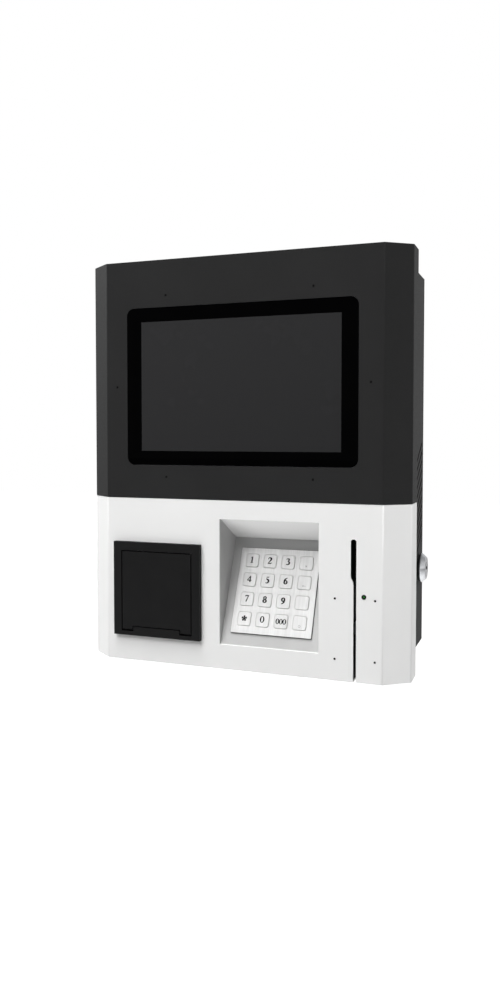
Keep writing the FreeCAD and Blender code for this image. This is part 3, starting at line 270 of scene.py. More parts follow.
def noise(material, place, scale, detail=2):
    """Smooth random spots; scale is how many lie in one unit of the place."""
    texture = material.node_tree.nodes.new("ShaderNodeTexNoise")
    texture.inputs["Scale"].default_value = scale
    texture.inputs["Detail"].default_value = detail
    link(material, place, texture.inputs["Vector"])
    return texture.outputs["Fac"]


def tiles(material, place, width, height, gap, offset, colours):
    """Rows of tiles, sized in millimetres, in two colours with the third in the gaps."""
    texture = material.node_tree.nodes.new("ShaderNodeTexBrick")
    texture.offset = offset
    for socket, colour in zip(("Color1", "Color2", "Mortar"), colours):
        feed(material, colour, texture.inputs[socket])
    texture.inputs["Scale"].default_value = 1000
    texture.inputs["Mortar Size"].default_value = gap
    texture.inputs["Brick Width"].default_value = width
    texture.inputs["Row Height"].default_value = height
    link(material, place, texture.inputs["Vector"])
    return texture


def spread(material, value, low, high):
    """Stretch a value from 0.3 to 0.7, where noise mostly lies, over a new range."""
    ranged = material.node_tree.nodes.new("ShaderNodeMapRange")
    ranged.inputs["From Min"].default_value = 0.3
    ranged.inputs["From Max"].default_value = 0.7
    ranged.inputs["To Min"].default_value = low
    ranged.inputs["To Max"].default_value = high
    link(material, value, ranged.inputs["Value"])
    return ranged.outputs["Result"]


def blend_colours(material, share, first, second, way="MIX"):
    """Two colours, each a constant or another node's output, blended by a share of the second."""
    mix = material.node_tree.nodes.new("ShaderNodeMix")
    mix.data_type = "RGBA"
    mix.blend_type = way
    feed(material, share, mix.inputs["Factor"])
    for name, colour in (("A", first), ("B", second)):
        socket = [item for item in mix.inputs if item.name == name and item.type == "RGBA"][0]
        feed(material, colour, socket)
    return [item for item in mix.outputs if item.type == "RGBA"][0]


def colour_with(material, colour):
    link(material, colour, principled(material).inputs["Base Color"])


def tint(material, value, first, second):
    """Colour the surface between two colours by a value."""
    colour_with(material, blend_colours(material, spread(material, value, 0, 1), first, second))


def roughen(material, value, low, high):
    """Vary the surface's roughness by a value."""
    link(material, spread(material, value, low, high), principled(material).inputs["Roughness"])


def emboss(material, value, height, strength):
    """Raise the surface by a value; height is in millimetres."""
    bump = material.node_tree.nodes.new("ShaderNodeBump")
    bump.inputs["Strength"].default_value = strength
    bump.inputs["Distance"].default_value = height * MM
    link(material, value, bump.inputs["Height"])
    link(material, bump.outputs["Normal"], principled(material).inputs["Normal"])


def powder_coat(name, dark, light, specular, low_rough, high_rough, grain_height):
    """Baked powder paint: fine orange peel, faint cloudiness and uneven sheen."""
    material = new_material(name, dark, roughness=low_rough, specular=specular)
    place = object_place(material)
    cloud = noise(material, place, 14, 3)
    peel = noise(material, place, 1300)
    tint(material, cloud, dark, light)
    roughen(material, peel, low_rough, high_rough)
    emboss(material, peel, grain_height, 0.35)
    return material


def moulded_plastic(name, dark, light, specular=0.4):
    """Spark-textured moulding."""
    material = new_material(name, dark, specular=specular)
    place = object_place(material)
    cloud = noise(material, place, 60)
    sparks = noise(material, place, 2200, 3)
    tint(material, cloud, dark, light)
    roughen(material, sparks, 0.42, 0.6)
    emboss(material, sparks, 0.03, 0.5)
    return material


def rubber(name):
    """Dull rubber with fine pores and a trace of dust."""
    material = new_material(name, (0.018, 0.018, 0.018), roughness=0.8, specular=0.3)
    place = object_place(material)
    dust = noise(material, place, 90, 4)
    pores = noise(material, place, 1600)
    tint(material, dust, (0.014, 0.014, 0.014), (0.03, 0.03, 0.029))
    roughen(material, pores, 0.68, 0.9)
    emboss(material, pores, 0.03, 0.5)
    return material


def zinc_plate(name):
    """Zinc-plated sheet: satin grey with rolling lines and cloudy patches."""
    material = new_material(name, (0.5, 0.51, 0.53), metallic=0.9, roughness=0.42)
    cloud = noise(material, object_place(material), 45, 3)
    rolling = noise(material, object_place(material, (18, 900, 900)), 1, 3)
    tint(material, cloud, (0.44, 0.45, 0.47), (0.54, 0.55, 0.57))
    roughen(material, rolling, 0.36, 0.5)
    emboss(material, rolling, 0.006, 0.25)
    return material


def bright_plate(name):
    """Chrome plating with turning marks and light finger smears."""
    material = new_material(name, (0.66, 0.67, 0.69), metallic=1.0, roughness=0.1)
    smear = noise(material, object_place(material), 160, 4)
    turning = noise(material, object_place(material, (2600, 40, 40)), 1)
    tint(material, smear, (0.5, 0.51, 0.53), (0.66, 0.67, 0.69))
    roughen(material, smear, 0.06, 0.2)
    emboss(material, turning, 0.006, 0.4)
    return material


def aluminium(name):
    """Drawn aluminium with lines along its height."""
    material = new_material(name, (0.62, 0.62, 0.63), metallic=1.0, roughness=0.35)
    drawn = noise(material, object_place(material, (900, 900, 30)), 1, 3)
    tint(material, drawn, (0.52, 0.52, 0.53), (0.7, 0.7, 0.71))
    roughen(material, drawn, 0.26, 0.46)
    emboss(material, drawn, 0.01, 0.4)
    return material


def keypad_steel(name):
    """Stainless steel brushed up and down the keypad's slope."""
    material = new_material(name, (0.85, 0.85, 0.845), metallic=0.45, roughness=0.36)
    slope = (KEYPAD_SLOPE, 0, 0)
    fine = noise(material, object_place(material, (2600, 2600, 45), slope), 1, 3)
    broad = noise(material, object_place(material, (190, 60, 9), slope), 1)
    streaks = blend_colours(material, spread(material, broad, 0, 1), (0.77, 0.77, 0.765),
                            (0.87, 0.87, 0.865))
    lines = blend_colours(material, spread(material, fine, 0, 1), (0.86, 0.86, 0.86), (1.0, 1.0, 1.0))
    colour_with(material, blend_colours(material, 1.0, streaks, lines, "MULTIPLY"))
    roughen(material, fine, 0.28, 0.46)
    emboss(material, fine, 0.012, 0.5)
    return material


def dark_glass(name):
    """Cover glass over a black print; low reflection coating."""
    material = new_material(name, (0.0004, 0.0004, 0.0005), roughness=0.08, specular=0.01)
    smear = noise(material, object_place(material), 35, 4)
    roughen(material, smear, 0.05, 0.14)
    tint(material, smear, (0.0003, 0.0003, 0.0004), (0.0006, 0.0006, 0.0007))
    return material


def resting_display(name):
    """The unlit picture area behind the glass: a grey panel with its fine dot grid."""
    material = new_material(name, (0.026, 0.026, 0.027), roughness=0.22, specular=0.02)
    dot = 0.18
    grid = tiles(material, front_place(material), dot, dot, dot / 10, 0,
                 ((0.0262, 0.0262, 0.027), (0.0272, 0.0272, 0.0278), (0.021, 0.021, 0.022)))
    colour_with(material, grid.outputs["Color"])
    roughen(material, noise(material, object_place(material), 30, 3), 0.16, 0.3)
    return material


def board_green(name):
    """Solder resist with copper tracks and pads showing through."""
    material = new_material(name, (0.02, 0.12, 0.05), roughness=0.35)
    place = front_place(material)
    tracks = tiles(material, place, 9, 1.5, 0.18, 0.37,
                   ((0.012, 0.1, 0.035), (0.018, 0.13, 0.05), (0.04, 0.24, 0.09)))
    pads = material.node_tree.nodes.new("ShaderNodeTexVoronoi")
    pads.inputs["Scale"].default_value = 260
    link(material, place, pads.inputs["Vector"])
    near = calculate(material, "LESS_THAN", pads.outputs["Distance"], 0.16)
    colour_with(material, blend_colours(material, near, tracks.outputs["Color"], (0.55, 0.5, 0.38)))
    emboss(material, tracks.outputs["Fac"], 0.05, 0.4)
    return material


def receipt_paper(name):
    """Thermal paper; its wound edges show as fine rings on the ends of the roll."""
    material = new_material(name, (0.85, 0.85, 0.84), roughness=0.7, specular=0.2)
    roll_middle = Vector((-90.2, -113, -146)) * MM
    rings = material.node_tree.nodes.new("ShaderNodeTexWave")
    rings.wave_type = "RINGS"
    rings.rings_direction = "X"
    rings.inputs["Scale"].default_value = 700
    rings.inputs["Distortion"].default_value = 0.6
    link(material, object_place(material, shift=-roll_middle), rings.inputs["Vector"])
    fibre = noise(material, object_place(material), 900, 3)
    tint(material, rings.outputs["Fac"], (0.72, 0.72, 0.7), (0.86, 0.86, 0.85))
    roughen(material, fibre, 0.62, 0.8)
    emboss(material, fibre, 0.015, 0.3)
    return material


def lamp_green(name):
    """Green light guide with a faint glow."""
    material = new_material(name, (0.004, 0.16, 0.008), roughness=0.2)
    swirl = noise(material, object_place(material), 900)
    tint(material, swirl, (0.002, 0.1, 0.004), (0.008, 0.2, 0.012))
    principled(material).inputs["Emission Color"].default_value = (0.0, 0.5, 0.02, 1)
    principled(material).inputs["Emission Strength"].default_value = 0.05
    return material


def matt_ink(name, colour):
    """Flat colour with a little wear, for print and for blackened pieces."""
    material = new_material(name, colour, specular=0.05)
    wear = noise(material, object_place(material), 1800, 3)
    lighter = tuple(channel * 1.5 + 0.002 for channel in colour)
    tint(material, wear, colour, lighter)
    return material


def make_materials():
    return {
        "black_paint": powder_coat("black_powder_coat", (0.013, 0.013, 0.0132), (0.015, 0.015, 0.0152),
                                   specular=0.2, low_rough=0.6, high_rough=0.74, grain_height=0.03),
        "white_paint": powder_coat("white_powder_coat", (0.8, 0.8, 0.795), (0.815, 0.815, 0.81),
                                   specular=0.3, low_rough=0.42, high_rough=0.56, grain_height=0.025),
        # The recess tray has the same white coat, darkened from 0.8 to 0.44 as painted shade for the
        # deep recess.
        "painted_shade_tray_paint": powder_coat("white_powder_coat_with_painted_shade", (0.44, 0.44, 0.438), (0.46, 0.46, 0.458),
                                  specular=0.2, low_rough=0.5, high_rough=0.65, grain_height=0.03),
        "zinc_steel": zinc_plate("zinc_plated_steel"),
        "lock_chrome": bright_plate("bright_plating"),
        "black_rubber": rubber("black_rubber"),
        "screen_glass": dark_glass("cover_glass"),
        "panel_frame": moulded_plastic("panel_frame_black", (0.02, 0.02, 0.02), (0.028, 0.028, 0.028)),
        "circuit_board": board_green("circuit_board_green"),
        "bare_aluminium": aluminium("bare_aluminium"),
        "keypad_steel": keypad_steel("keypad_brushed_steel"),
        "black_plastic": moulded_plastic("black_moulding", (0.0058, 0.0058, 0.006),
                                         (0.007, 0.007, 0.0072), specular=0.12),
        "gear_plastic": moulded_plastic("natural_moulding", (0.7, 0.68, 0.62), (0.78, 0.76, 0.71)),
        "receipt_paper": receipt_paper("thermal_paper"),
        "lamp_green": lamp_green("green_light_guide"),
        "resting_display": resting_display("resting_display"),
        "black_ink": matt_ink("black_ink", (0.002, 0.002, 0.002)),
        "grey_ink": matt_ink("grey_ink", (0.2, 0.2, 0.2)),
    }


# Mesh building

def rounded(width, height, corner, x=0, y=0, steps=7):
    """Outline of a rectangle with round corners."""
    points = []
    for side_x, side_y, start in ((1, 1, 0), (-1, 1, 90), (-1, -1, 180), (1, -1, 270)):
        for step in range(steps + 1):
            angle = math.radians(start + 90 * step / steps)
            points.append((x + side_x * (width / 2 - corner) + corner * math.cos(angle),
                           y + side_y * (height / 2 - corner) + corner * math.sin(angle)))
    return points


def sheet_mesh(outlines, low, high, edge=0.0):
    """A flat plate between two heights, with holes where one outline lies in another.

    Its edges are rounded by the width edge, within the outline.
    """
    curve = bpy.data.curves.new("outline", "CURVE")
    curve.dimensions = "2D"
    curve.fill_mode = "BOTH"
    curve.extrude = (high - low) / 2 - edge
    curve.bevel_depth = edge
    curve.bevel_resolution = 2
    curve.offset = -edge
    for points in outlines:
        spline = curve.splines.new("POLY")
        spline.points.add(len(points) - 1)
        for point, (x, y) in zip(spline.points, points):
            point.co = (x, y, 0, 1)
        spline.use_cyclic_u = True
    holder = bpy.data.objects.new("outline", curve)
    mesh = bpy.data.meshes.new_from_object(holder)
    bpy.data.objects.remove(holder)
    bpy.data.curves.remove(curve)
    mesh.transform(Matrix.Translation((0, 0, (low + high) / 2)))
    shape = bmesh.new()
    shape.from_mesh(mesh)
    bmesh.ops.remove_doubles(shape, verts=shape.verts, dist=1e-4)
    bmesh.ops.recalc_face_normals(shape, faces=shape.faces)
    shape.to_mesh(mesh)
    shape.free()
    return mesh


def turned_mesh(profile, segments):
    """A closed turned shape about its z axis; the profile gives height and radius."""
    shape = bmesh.new()
    rings = []
    for height, radius in profile:
        ring = []
        for step in range(segments):
            angle = math.tau * step / segments
            ring.append(shape.verts.new((radius * math.cos(angle), radius * math.sin(angle), height)))
        rings.append(ring)
    for first, second in zip(rings, rings[1:] + rings[:1]):
        for step in range(segments):
            after = (step + 1) % segments
            corners = (first[step], first[after], second[after], second[step])
            shape.faces.new(corners)
    bmesh.ops.remove_doubles(shape, verts=shape.verts, dist=1e-5)
    bmesh.ops.recalc_face_normals(shape, faces=shape.faces)
    mesh = bpy.data.meshes.new("turned")
    shape.to_mesh(mesh)
    shape.free()
    return mesh


def joined(meshes):
    """Several meshes as one."""
    shape = bmesh.new()
    for mesh in meshes:
        shape.from_mesh(mesh)
        bpy.data.meshes.remove(mesh)
    result = bpy.data.meshes.new("joined")
    shape.to_mesh(result)
    shape.free()
    return result


def turned_copies(profile, segments, places, level):
    """The same turned shape at several places, its heights counted from one level."""
    meshes = []
    for x, y in places:
        mesh = turned_mesh(profile, segments)
        mesh.transform(Matrix.Translation((x, y, level)))
        meshes.append(mesh)
    return meshes


def slab(width, height, x, y, low, high, corner=0.3):
    """A small flat block with softened edges."""
    return sheet_mesh([rounded(width, height, corner, x, y, 3)], low, high, 0.1)


def piece(name, mesh, place, body, material, stands_for=()):
    """Put a mesh in the part's frame, finish it and let it ride on a body."""
    mesh.transform(place)
    mesh.transform(Matrix.Scale(MM, 4))
    mesh.name = name
    mesh.materials.clear()
    mesh.materials.append(materials[material])
    for face in mesh.polygons:
        face.use_smooth = True
    mesh.set_sharp_from_angle(angle=math.radians(38))
    made = bpy.data.objects.new(name, mesh)
    bpy.context.scene.collection.objects.link(made)
    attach(made, body)
    if stands_for:
        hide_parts(*stands_for)


# Carried-over parts

def finish_nodes():
    """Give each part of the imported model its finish."""
    for name, thing in nodes.items():
        finish = OTHER_FINISH.get(name, SLOT_OF_NODE[name])
        for place in thing.material_slots:
            place.material = materials[finish]


def soften(name, width):
    """Round the sharp edges of a part a little, as bent sheet and mouldings have them."""
    thing = nodes[name]
    weld = thing.modifiers.new("weld", "WELD")
    weld.merge_threshold = 1e-6
    bevel = thing.modifiers.new("edges", "BEVEL")
    bevel.width = width * MM
    bevel.segments = 2
    bevel.limit_method = "ANGLE"
    bevel.angle_limit = math.radians(35)


# Keypad

def key_places():
    """Middles of the keys, row by row from the top left."""
    places = []
    for row in range(4):
        for column in range(4):
            places.append((KEY_PITCH_ACROSS * (column - 1.5), KEY_PITCH_UP * (1.5 - row) + 0.5))
    return places


def keypad_plate():
    """Plate with an opening for each key, and a dark rim round it as painted shade along the plate's
    edges.
    """
    width = 87
    height = 91
    outlines = [rounded(width, height, 0.8)]
    for x, y in key_places():
        outlines.append(rounded(14.6, 14.6, 2.3, x, y))
    mesh = sheet_mesh(outlines, -2, 0, 0.15)
    piece("keypad_plate", mesh, KEYPAD, "front_door", "keypad_steel", ["pinpad_plate"])
    # The black rim is painted shade where the plate's edges and the tray beside them fall dark.
    rim = [rounded(width + 0.7, height + 0.7, 1.1), rounded(width - 0.1, height - 0.1, 0.7)]
    painted_shade_rim = sheet_mesh(rim, -2, -0.5, 0.1)
    piece("keypad_painted_shade_rim", painted_shade_rim, KEYPAD, "front_door", "black_rubber")


def key_cap(name, x, y):
    """Cap with round corners and a soft rim, its flange and its stem."""
    flange_top = -2.35
    stem_top = -3.95
    cap = sheet_mesh([rounded(14, 14, 2.1)], flange_top, KEY_TOP, 0.3)
    flange = sheet_mesh([rounded(16.4, 16.4, 0.5)], stem_top, flange_top, 0.1)
    stem = sheet_mesh([rounded(5, 5, 0.4)], stem_top - 4, stem_top, 0.1)
    place = KEYPAD @ Matrix.Translation((x, y, 0))
    piece(name + "_cap", joined([cap, flange, stem]), place, name + "_body", "keypad_steel",
          [name])


def pen_stroke(points, steps=6):
    """Outline of a stroke that follows points of x, y and half its width on a smooth line.

    The figures are bold, so every width is raised first.
    """
    smooth = []
    points = [(x, y, half * 1.5 + 0.015) for x, y, half in points]
    padded = [points[0]] + points + [points[-1]]
    for index in range(1, len(padded) - 2):
        before, start, end, after = (Vector(point) for point in padded[index - 1:index + 3])
        for step in range(steps):
            t = step / steps
            smooth.append(0.5 * (2 * start + (end - before) * t
                                 + (2 * before - 5 * start + 4 * end - after) * t ** 2
                                 + (3 * start - before - 3 * end + after) * t ** 3))
    smooth.append(Vector(points[-1]))
    left = []
    right = []
    for index, point in enumerate(smooth):
        ahead = smooth[min(index + 1, len(smooth) - 1)]
        behind = smooth[max(index - 1, 0)]
        along = Vector((ahead.x - behind.x, ahead.y - behind.y)).normalized()
        side = Vector((-along.y, along.x)) * point.z
        left.append((point.x + side.x, point.y + side.y))
        right.append((point.x - side.x, point.y - side.y))
    return left + right[::-1]


def ellipse(x, y, half_width, half_height, steps=28):
    return [(x + half_width * math.cos(math.tau * step / steps),
             y + half_height * math.sin(math.tau * step / steps)) for step in range(steps)]


def ring(x, y, outer, inner):
    """Two ellipses, one in the other; each is half its width and half its height."""
    return [ellipse(x, y, *outer), ellipse(x, y, *inner)]


# The tail of the 6, as points for pen_stroke; turned round it is the tail of the 9.
SIX_TAIL = [(0.27, 0.985, 0.02), (0.09, 0.9, 0.045), (-0.09, 0.75, 0.065), (-0.17, 0.55, 0.078),
            (-0.19, 0.34, 0.075)]

# Each digit is a list of shapes, one unit high and with x = 0 in its middle; a shape is a list of
# outlines.
DIGITS = {
    "0": [ring(0, 0.5, (0.36, 0.51), (0.13, 0.4))],
    "1": [[[(-0.23, 0), (0.25, 0), (0.25, 0.045), (0.12, 0.08), (0.115, 1.0), (0.05, 1.0), (-0.25, 0.89),
            (-0.22, 0.83), (-0.09, 0.86), (-0.09, 0.08), (-0.23, 0.045)]]],
    "2": [[pen_stroke([(-0.25, 0.72, 0.045), (-0.21, 0.87, 0.03), (-0.09, 0.965, 0.035),
                       (0.06, 0.95, 0.055), (0.18, 0.86, 0.08), (0.2, 0.71, 0.08), (0.13, 0.55, 0.06),
                       (0.0, 0.38, 0.045), (-0.14, 0.21, 0.035), (-0.27, 0.06, 0.03)])],
          [[(-0.3, 0), (0.26, 0), (0.34, 0.24), (0.3, 0.24), (0.23, 0.14), (-0.21, 0.14)]]],
    "3": [[pen_stroke([(-0.24, 0.8, 0.03), (-0.16, 0.92, 0.03), (-0.02, 0.965, 0.04), (0.12, 0.9, 0.07),
                       (0.15, 0.76, 0.075), (0.06, 0.62, 0.045), (-0.08, 0.56, 0.02)])],
          [pen_stroke([(-0.05, 0.57, 0.02), (0.1, 0.52, 0.05), (0.21, 0.38, 0.08), (0.2, 0.19, 0.08),
                       (0.06, 0.05, 0.05), (-0.12, 0.035, 0.035), (-0.24, 0.09, 0.05)])]],
    "4": [[[(0.03, 0), (0.23, 0), (0.23, 1.0), (0.12, 1.0), (0.03, 0.9)]],
          [[(-0.34, 0.22), (0.35, 0.22), (0.35, 0.36), (-0.34, 0.36)]],
          [[(-0.34, 0.35), (-0.33, 0.28), (-0.24, 0.3), (0.12, 0.82), (0.12, 1.0)]]],
    "5": [[[(-0.13, 0.87), (0.2, 0.87), (0.27, 1.0), (-0.08, 1.0)]],
          [[(-0.13, 1.0), (-0.07, 1.0), (-0.14, 0.6), (-0.2, 0.6)]],
          [pen_stroke([(-0.18, 0.62, 0.03), (-0.03, 0.61, 0.06), (0.14, 0.5, 0.08), (0.2, 0.33, 0.085),
                       (0.14, 0.14, 0.07), (0.0, 0.045, 0.045), (-0.14, 0.03, 0.035),
                       (-0.25, 0.08, 0.045)])]],
    "6": [ring(0.01, 0.32, (0.34, 0.34), (0.08, 0.19)), [pen_stroke(SIX_TAIL)]],
    "7": [[[(-0.33, 0.72), (-0.28, 0.72), (-0.2, 0.83), (0.14, 0.83), (-0.17, 0.0), (0.04, 0.0),
            (0.33, 0.94), (0.33, 1.0), (-0.25, 1.0)]]],
    "8": [ring(0, 0.75, (0.3, 0.27), (0.07, 0.13)), ring(0, 0.28, (0.36, 0.31), (0.09, 0.16))],
    "9": [ring(-0.01, 0.67, (0.34, 0.34), (0.08, 0.19)),
          [pen_stroke([(-x, 1 - y, half) for x, y, half in SIX_TAIL])]],
}


def asterisk():
    """Five petals round the middle, in the same units as the digits."""
    petals = []
    for step in range(5):
        angle = math.tau * step / 5 + math.tau / 4
        points = [(math.cos(angle) * reach, 0.5 + math.sin(angle) * reach, half)
                  for reach, half in ((0.0, 0.03), (0.14, 0.045), (0.33, 0.1), (0.46, 0.05))]
        petals.append([pen_stroke(points)])
    return petals


def print_mesh(shapes, height, middle_x, middle_y):
    """Ink on a key's top; each shape lies a hair above the one before."""
    meshes = []
    for index, outlines in enumerate(shapes):
        placed = [[(middle_x + x * height, middle_y + (y - 0.5) * height) for x, y in points]
                  for points in outlines]
        meshes.append(sheet_mesh(placed, KEY_TOP - 0.01, KEY_TOP + 0.025 + index * 0.003))
    return joined(meshes)


# Small signs of three function keys, in the same units as the digits.
SIGNS = {
    "top_right": [[pen_stroke([(-0.3, 0.2, 0.05), (0, 0.5, 0.05), (0.3, 0.8, 0.05)])],
                  [pen_stroke([(-0.3, 0.8, 0.05), (0, 0.5, 0.05), (0.3, 0.2, 0.05)])]],
    "upper_right": [[[(-0.7, 0.5), (-0.25, 0.85), (-0.25, 0.56), (0.7, 0.56), (0.7, 0.44), (-0.25, 0.44),
                      (-0.25, 0.15)]]],
    "bottom_right": [ring(0, 0.5, (0.5, 0.5), (0.38, 0.38))],
}


def key_print(name, x, y):
    """Black figure on a number key, or a small grey sign on a function key."""
    place = KEYPAD @ Matrix.Translation((x, y, 0))
    body = name + "_body"
    text = name.removeprefix("key_")
    if text in DIGITS:
        piece(name + "_figure", print_mesh(DIGITS[text], 6.9, -0.3, 0.6), place, body, "black_ink")
    elif text == "star":
        piece(name + "_figure", print_mesh(asterisk(), 6.6, 0, 0.4), place, body, "black_ink")
    elif text == "triple_0":
        zeros = [print_mesh(DIGITS["0"], 5.6, shift, -0.1) for shift in (-3.7, 0, 3.7)]
        piece(name + "_figure", joined(zeros), place, body, "black_ink")
    elif text in SIGNS:
        piece(name + "_sign", print_mesh(SIGNS[text], 2.6, 0, -3.4), place, body, "grey_ink")


# Display

def cover_glass():
    """Glass with a ground rim, black round the picture area."""
    width = 216.96
    height = 135.6
    gap = 0.04
    border = sheet_mesh([rounded(250.4, 165, 8, 0, SCREEN_UP, 12),
                         rounded(width, height, 0.4, 0, SCREEN_UP, 2)], FRONT_FACE - 3, FRONT_FACE, 0.12)
    piece("cover_glass_border", border, FRONT, "front_door", "screen_glass",
          ["touch_glass"])
    middle = sheet_mesh([rounded(width - gap, height - gap, 0.4, 0, SCREEN_UP, 2)], FRONT_FACE - 3,
                        FRONT_FACE - 0.02, 0.05)
    piece("cover_glass_middle", middle, FRONT, "front_door", "resting_display",
          ["touch_glass"])


# Small front parts

def front_screw_heads():
    """Low button heads with a socket."""
    profile = [(0, 0), (0, 1.15), (0.12, 1.15), (0.3, 1.0), (0.4, 0.7), (0.36, 0.6), (0.1, 0.55),
               (0.1, 0)]
    heads = turned_copies(profile, 24, SCREEN_SCREWS + READER_SCREWS, FRONT_FACE)
    piece("front_screw_heads", joined(heads), FRONT, "front_door", "black_ink",
          ["front_screws"])


def status_lamp():
    """Green light guide in a dark collar, inside the holder's rim."""
    place = (131.75, -127.7)
    lens = [(-2, 0), (-2, 0.9), (0, 0.9), (0.16, 0.75), (0.25, 0.45), (0.28, 0)]
    collar = [(-2, 0.92), (-2, 1.5), (-0.05, 1.5), (0.05, 1.4), (0.05, 1.1), (-0.05, 0.92)]
    for name, profile, finish, slot in (("status_lens", lens, "lamp_green", "lamp_green"),
                                        ("status_lens_collar", collar, "black_ink", "black_plastic")):
        mesh = turned_copies(profile, 40, [place], FRONT_FACE)[0]
        piece(name, mesh, FRONT, "front_door", finish, ["lamp_lens"])


def lock_head():
    """Turned lock body: thin rim, tapered face with a soft edge, and the threaded barrel behind."""
    bore = 6.95
    barrel_end = 142
    profile = [(barrel_end, bore), (173.2, bore), (LOCK_FACE, 7.25), (LOCK_FACE, 11.75), (173.35, 12.15),
               (173.05, 12.5), (169.7, 15.45), (169.3, 15.75), (168.8, 15.9), (167.6, 15.9),
               (167.15, 15.75), (167, 15.4), (167, 9.5)]
    for turn in range(24):
        profile += [(166.4 - turn, 9.5), (165.9 - turn, 9.1)]
    profile.append((barrel_end, 9.1))
    mesh = turned_mesh(profile, 96)
    mesh.transform(LOCK_AXIS)
    piece("lock_head", mesh, RIGHT_SIDE, "housing", "lock_chrome", ["lock_body"])


def lock_shutter():
    """Thin disc with the key's opening on the plug's face, and a black disc behind it as painted shade
    in the keyhole.
    """
    opening = rounded(9.8, 3.4, 1.0)
    disc = sheet_mesh([ellipse(0, 0, 6.3, 6.3, 64), opening], LOCK_FACE, LOCK_FACE + 0.2, 0.06)
    # A black disc on the plug's face: painted shade for the hole behind the opening.
    keyhole_shade = sheet_mesh([ellipse(0, 0, 5.7, 5.7, 40)], LOCK_FACE, LOCK_FACE + 0.04)
    for name, mesh, finish in (("lock_shutter", disc, "lock_chrome"),
                               ("lock_keyhole_painted_shade", keyhole_shade, "black_ink")):
        mesh.transform(LOCK_AXIS)
        piece(name, mesh, RIGHT_SIDE, "lock_cylinder", finish)


# Inside the housing and behind the door

def pan_heads(name, places, place, level, body, radius=2.6):
    """Machine screws with a turned head and a socket."""
    profile = [(0, 0), (0, radius), (0.6, radius), (1.3, radius * 0.85), (1.6, radius * 0.5),
               (1.6, radius * 0.36), (0.7, radius * 0.32), (0.7, 0)]
    heads = turned_copies(profile, 28, places, level)
    piece(name, joined(heads), place, body, "zinc_steel")


def hexagon_nuts(name, places, level):
    """Nuts on the welded studs behind the covers, each with its washer and stud end.

    The places are given as seen from the front.
    """
    places = [(-x, z) for x, z in places]
    washers = turned_copies([(0, 0), (0, 3.9), (0.5, 3.9), (0.5, 0)], 32, places, level)
    nuts = turned_copies([(0.5, 0), (0.5, 3.1), (2.5, 3.1), (2.9, 2.6), (2.9, 0)], 6, places, level)
    studs = turned_copies([(2.9, 0), (2.9, 1.5), (4.2, 1.5), (4.6, 1.1), (4.6, 0)], 24, places, level)
    piece(name, joined(washers + nuts + studs), BACK, "front_door", "zinc_steel")


def chips(name, rows, place, low, high, body):
    """Moulded chips over the board's blocks, each with a ring by its first leg and two rows of legs.

    A row is a chip's width, height and middle.
    """
    leg_pitch = 1.27
    top = high + 0.2
    cases = []
    legs = []
    for width, height, x, y in rows:
        cases.append(slab(width + 0.4, height + 0.4, x, y, low, top))
        corner = (x - width / 2 + 1.6, y + height / 2 - 1.6)
        cases += turned_copies([(0, 0.45), (0, 0.8), (0.06, 0.8), (0.06, 0.45)], 20, [corner], top)
        count = int(width / leg_pitch)
        outlines = [rounded(0.5, 1.5, 0.1, x + (index - (count - 1) / 2) * leg_pitch,
                            y + side * (height / 2 + 0.9), 2)
                    for index in range(count) for side in (-1, 1)]
        legs.append(sheet_mesh(outlines, low, low + 0.5))
    piece(name + "_cases", joined(cases), place, body, "black_plastic")
    piece(name + "_legs", joined(legs), place, body, "zinc_steel")


def port_shells(name, rows, place, low, high, body):
    """Bent sheet shells over the sockets, each with two spring windows over a dark lining.

    A row is a socket's width, height and middle.
    """
    shells = []
    linings = []
    for width, height, x, y in rows:
        outside = rounded(width + 0.8, height + 0.8, 0.5, x, y, 3)
        inside = rounded(width + 0.1, height + 0.1, 0.2, x, y, 3)
        shells.append(sheet_mesh([outside, inside], low, high + 0.12))
        outlines = [outside]
        for side in (-1, 1):
            across = x + side * width * 0.24
            outlines.append(rounded(3.2, height * 0.45, 0.4, across, y + height * 0.12, 3))
            outlines.append(rounded(1.8, height * 0.3, 0.4, across, y + height * 0.16, 3))
        shells.append(sheet_mesh(outlines, high + 0.12, high + 0.45, 0.06))
        linings.append(slab(width - 0.2, height - 0.2, x, y, high, high + 0.1))
    piece(name + "_shells", joined(shells), place, body, "zinc_steel")
    piece(name + "_linings", joined(linings), place, body, "black_plastic")


def capacitors(places, low, high):
    """Cans with a rolled rim and a grooved foot, each on its square base."""
    top = high - low
    profile = [(1, 0), (1, 3), (1.8, 3), (2.1, 2.75), (2.4, 3), (top - 0.5, 3), (top - 0.1, 2.7),
               (top, 2.4), (top - 0.25, 2.2), (top - 0.25, 0)]
    cans = turned_copies(profile, 36, places, low)
    bases = [slab(6.6, 6.6, x, y, low, low + 1, 0.6) for x, y in places]
    piece("capacitor_cans", joined(cans), FRONT, "housing", "bare_aluminium")
    piece("capacitor_bases", joined(bases), FRONT, "housing", "black_plastic")


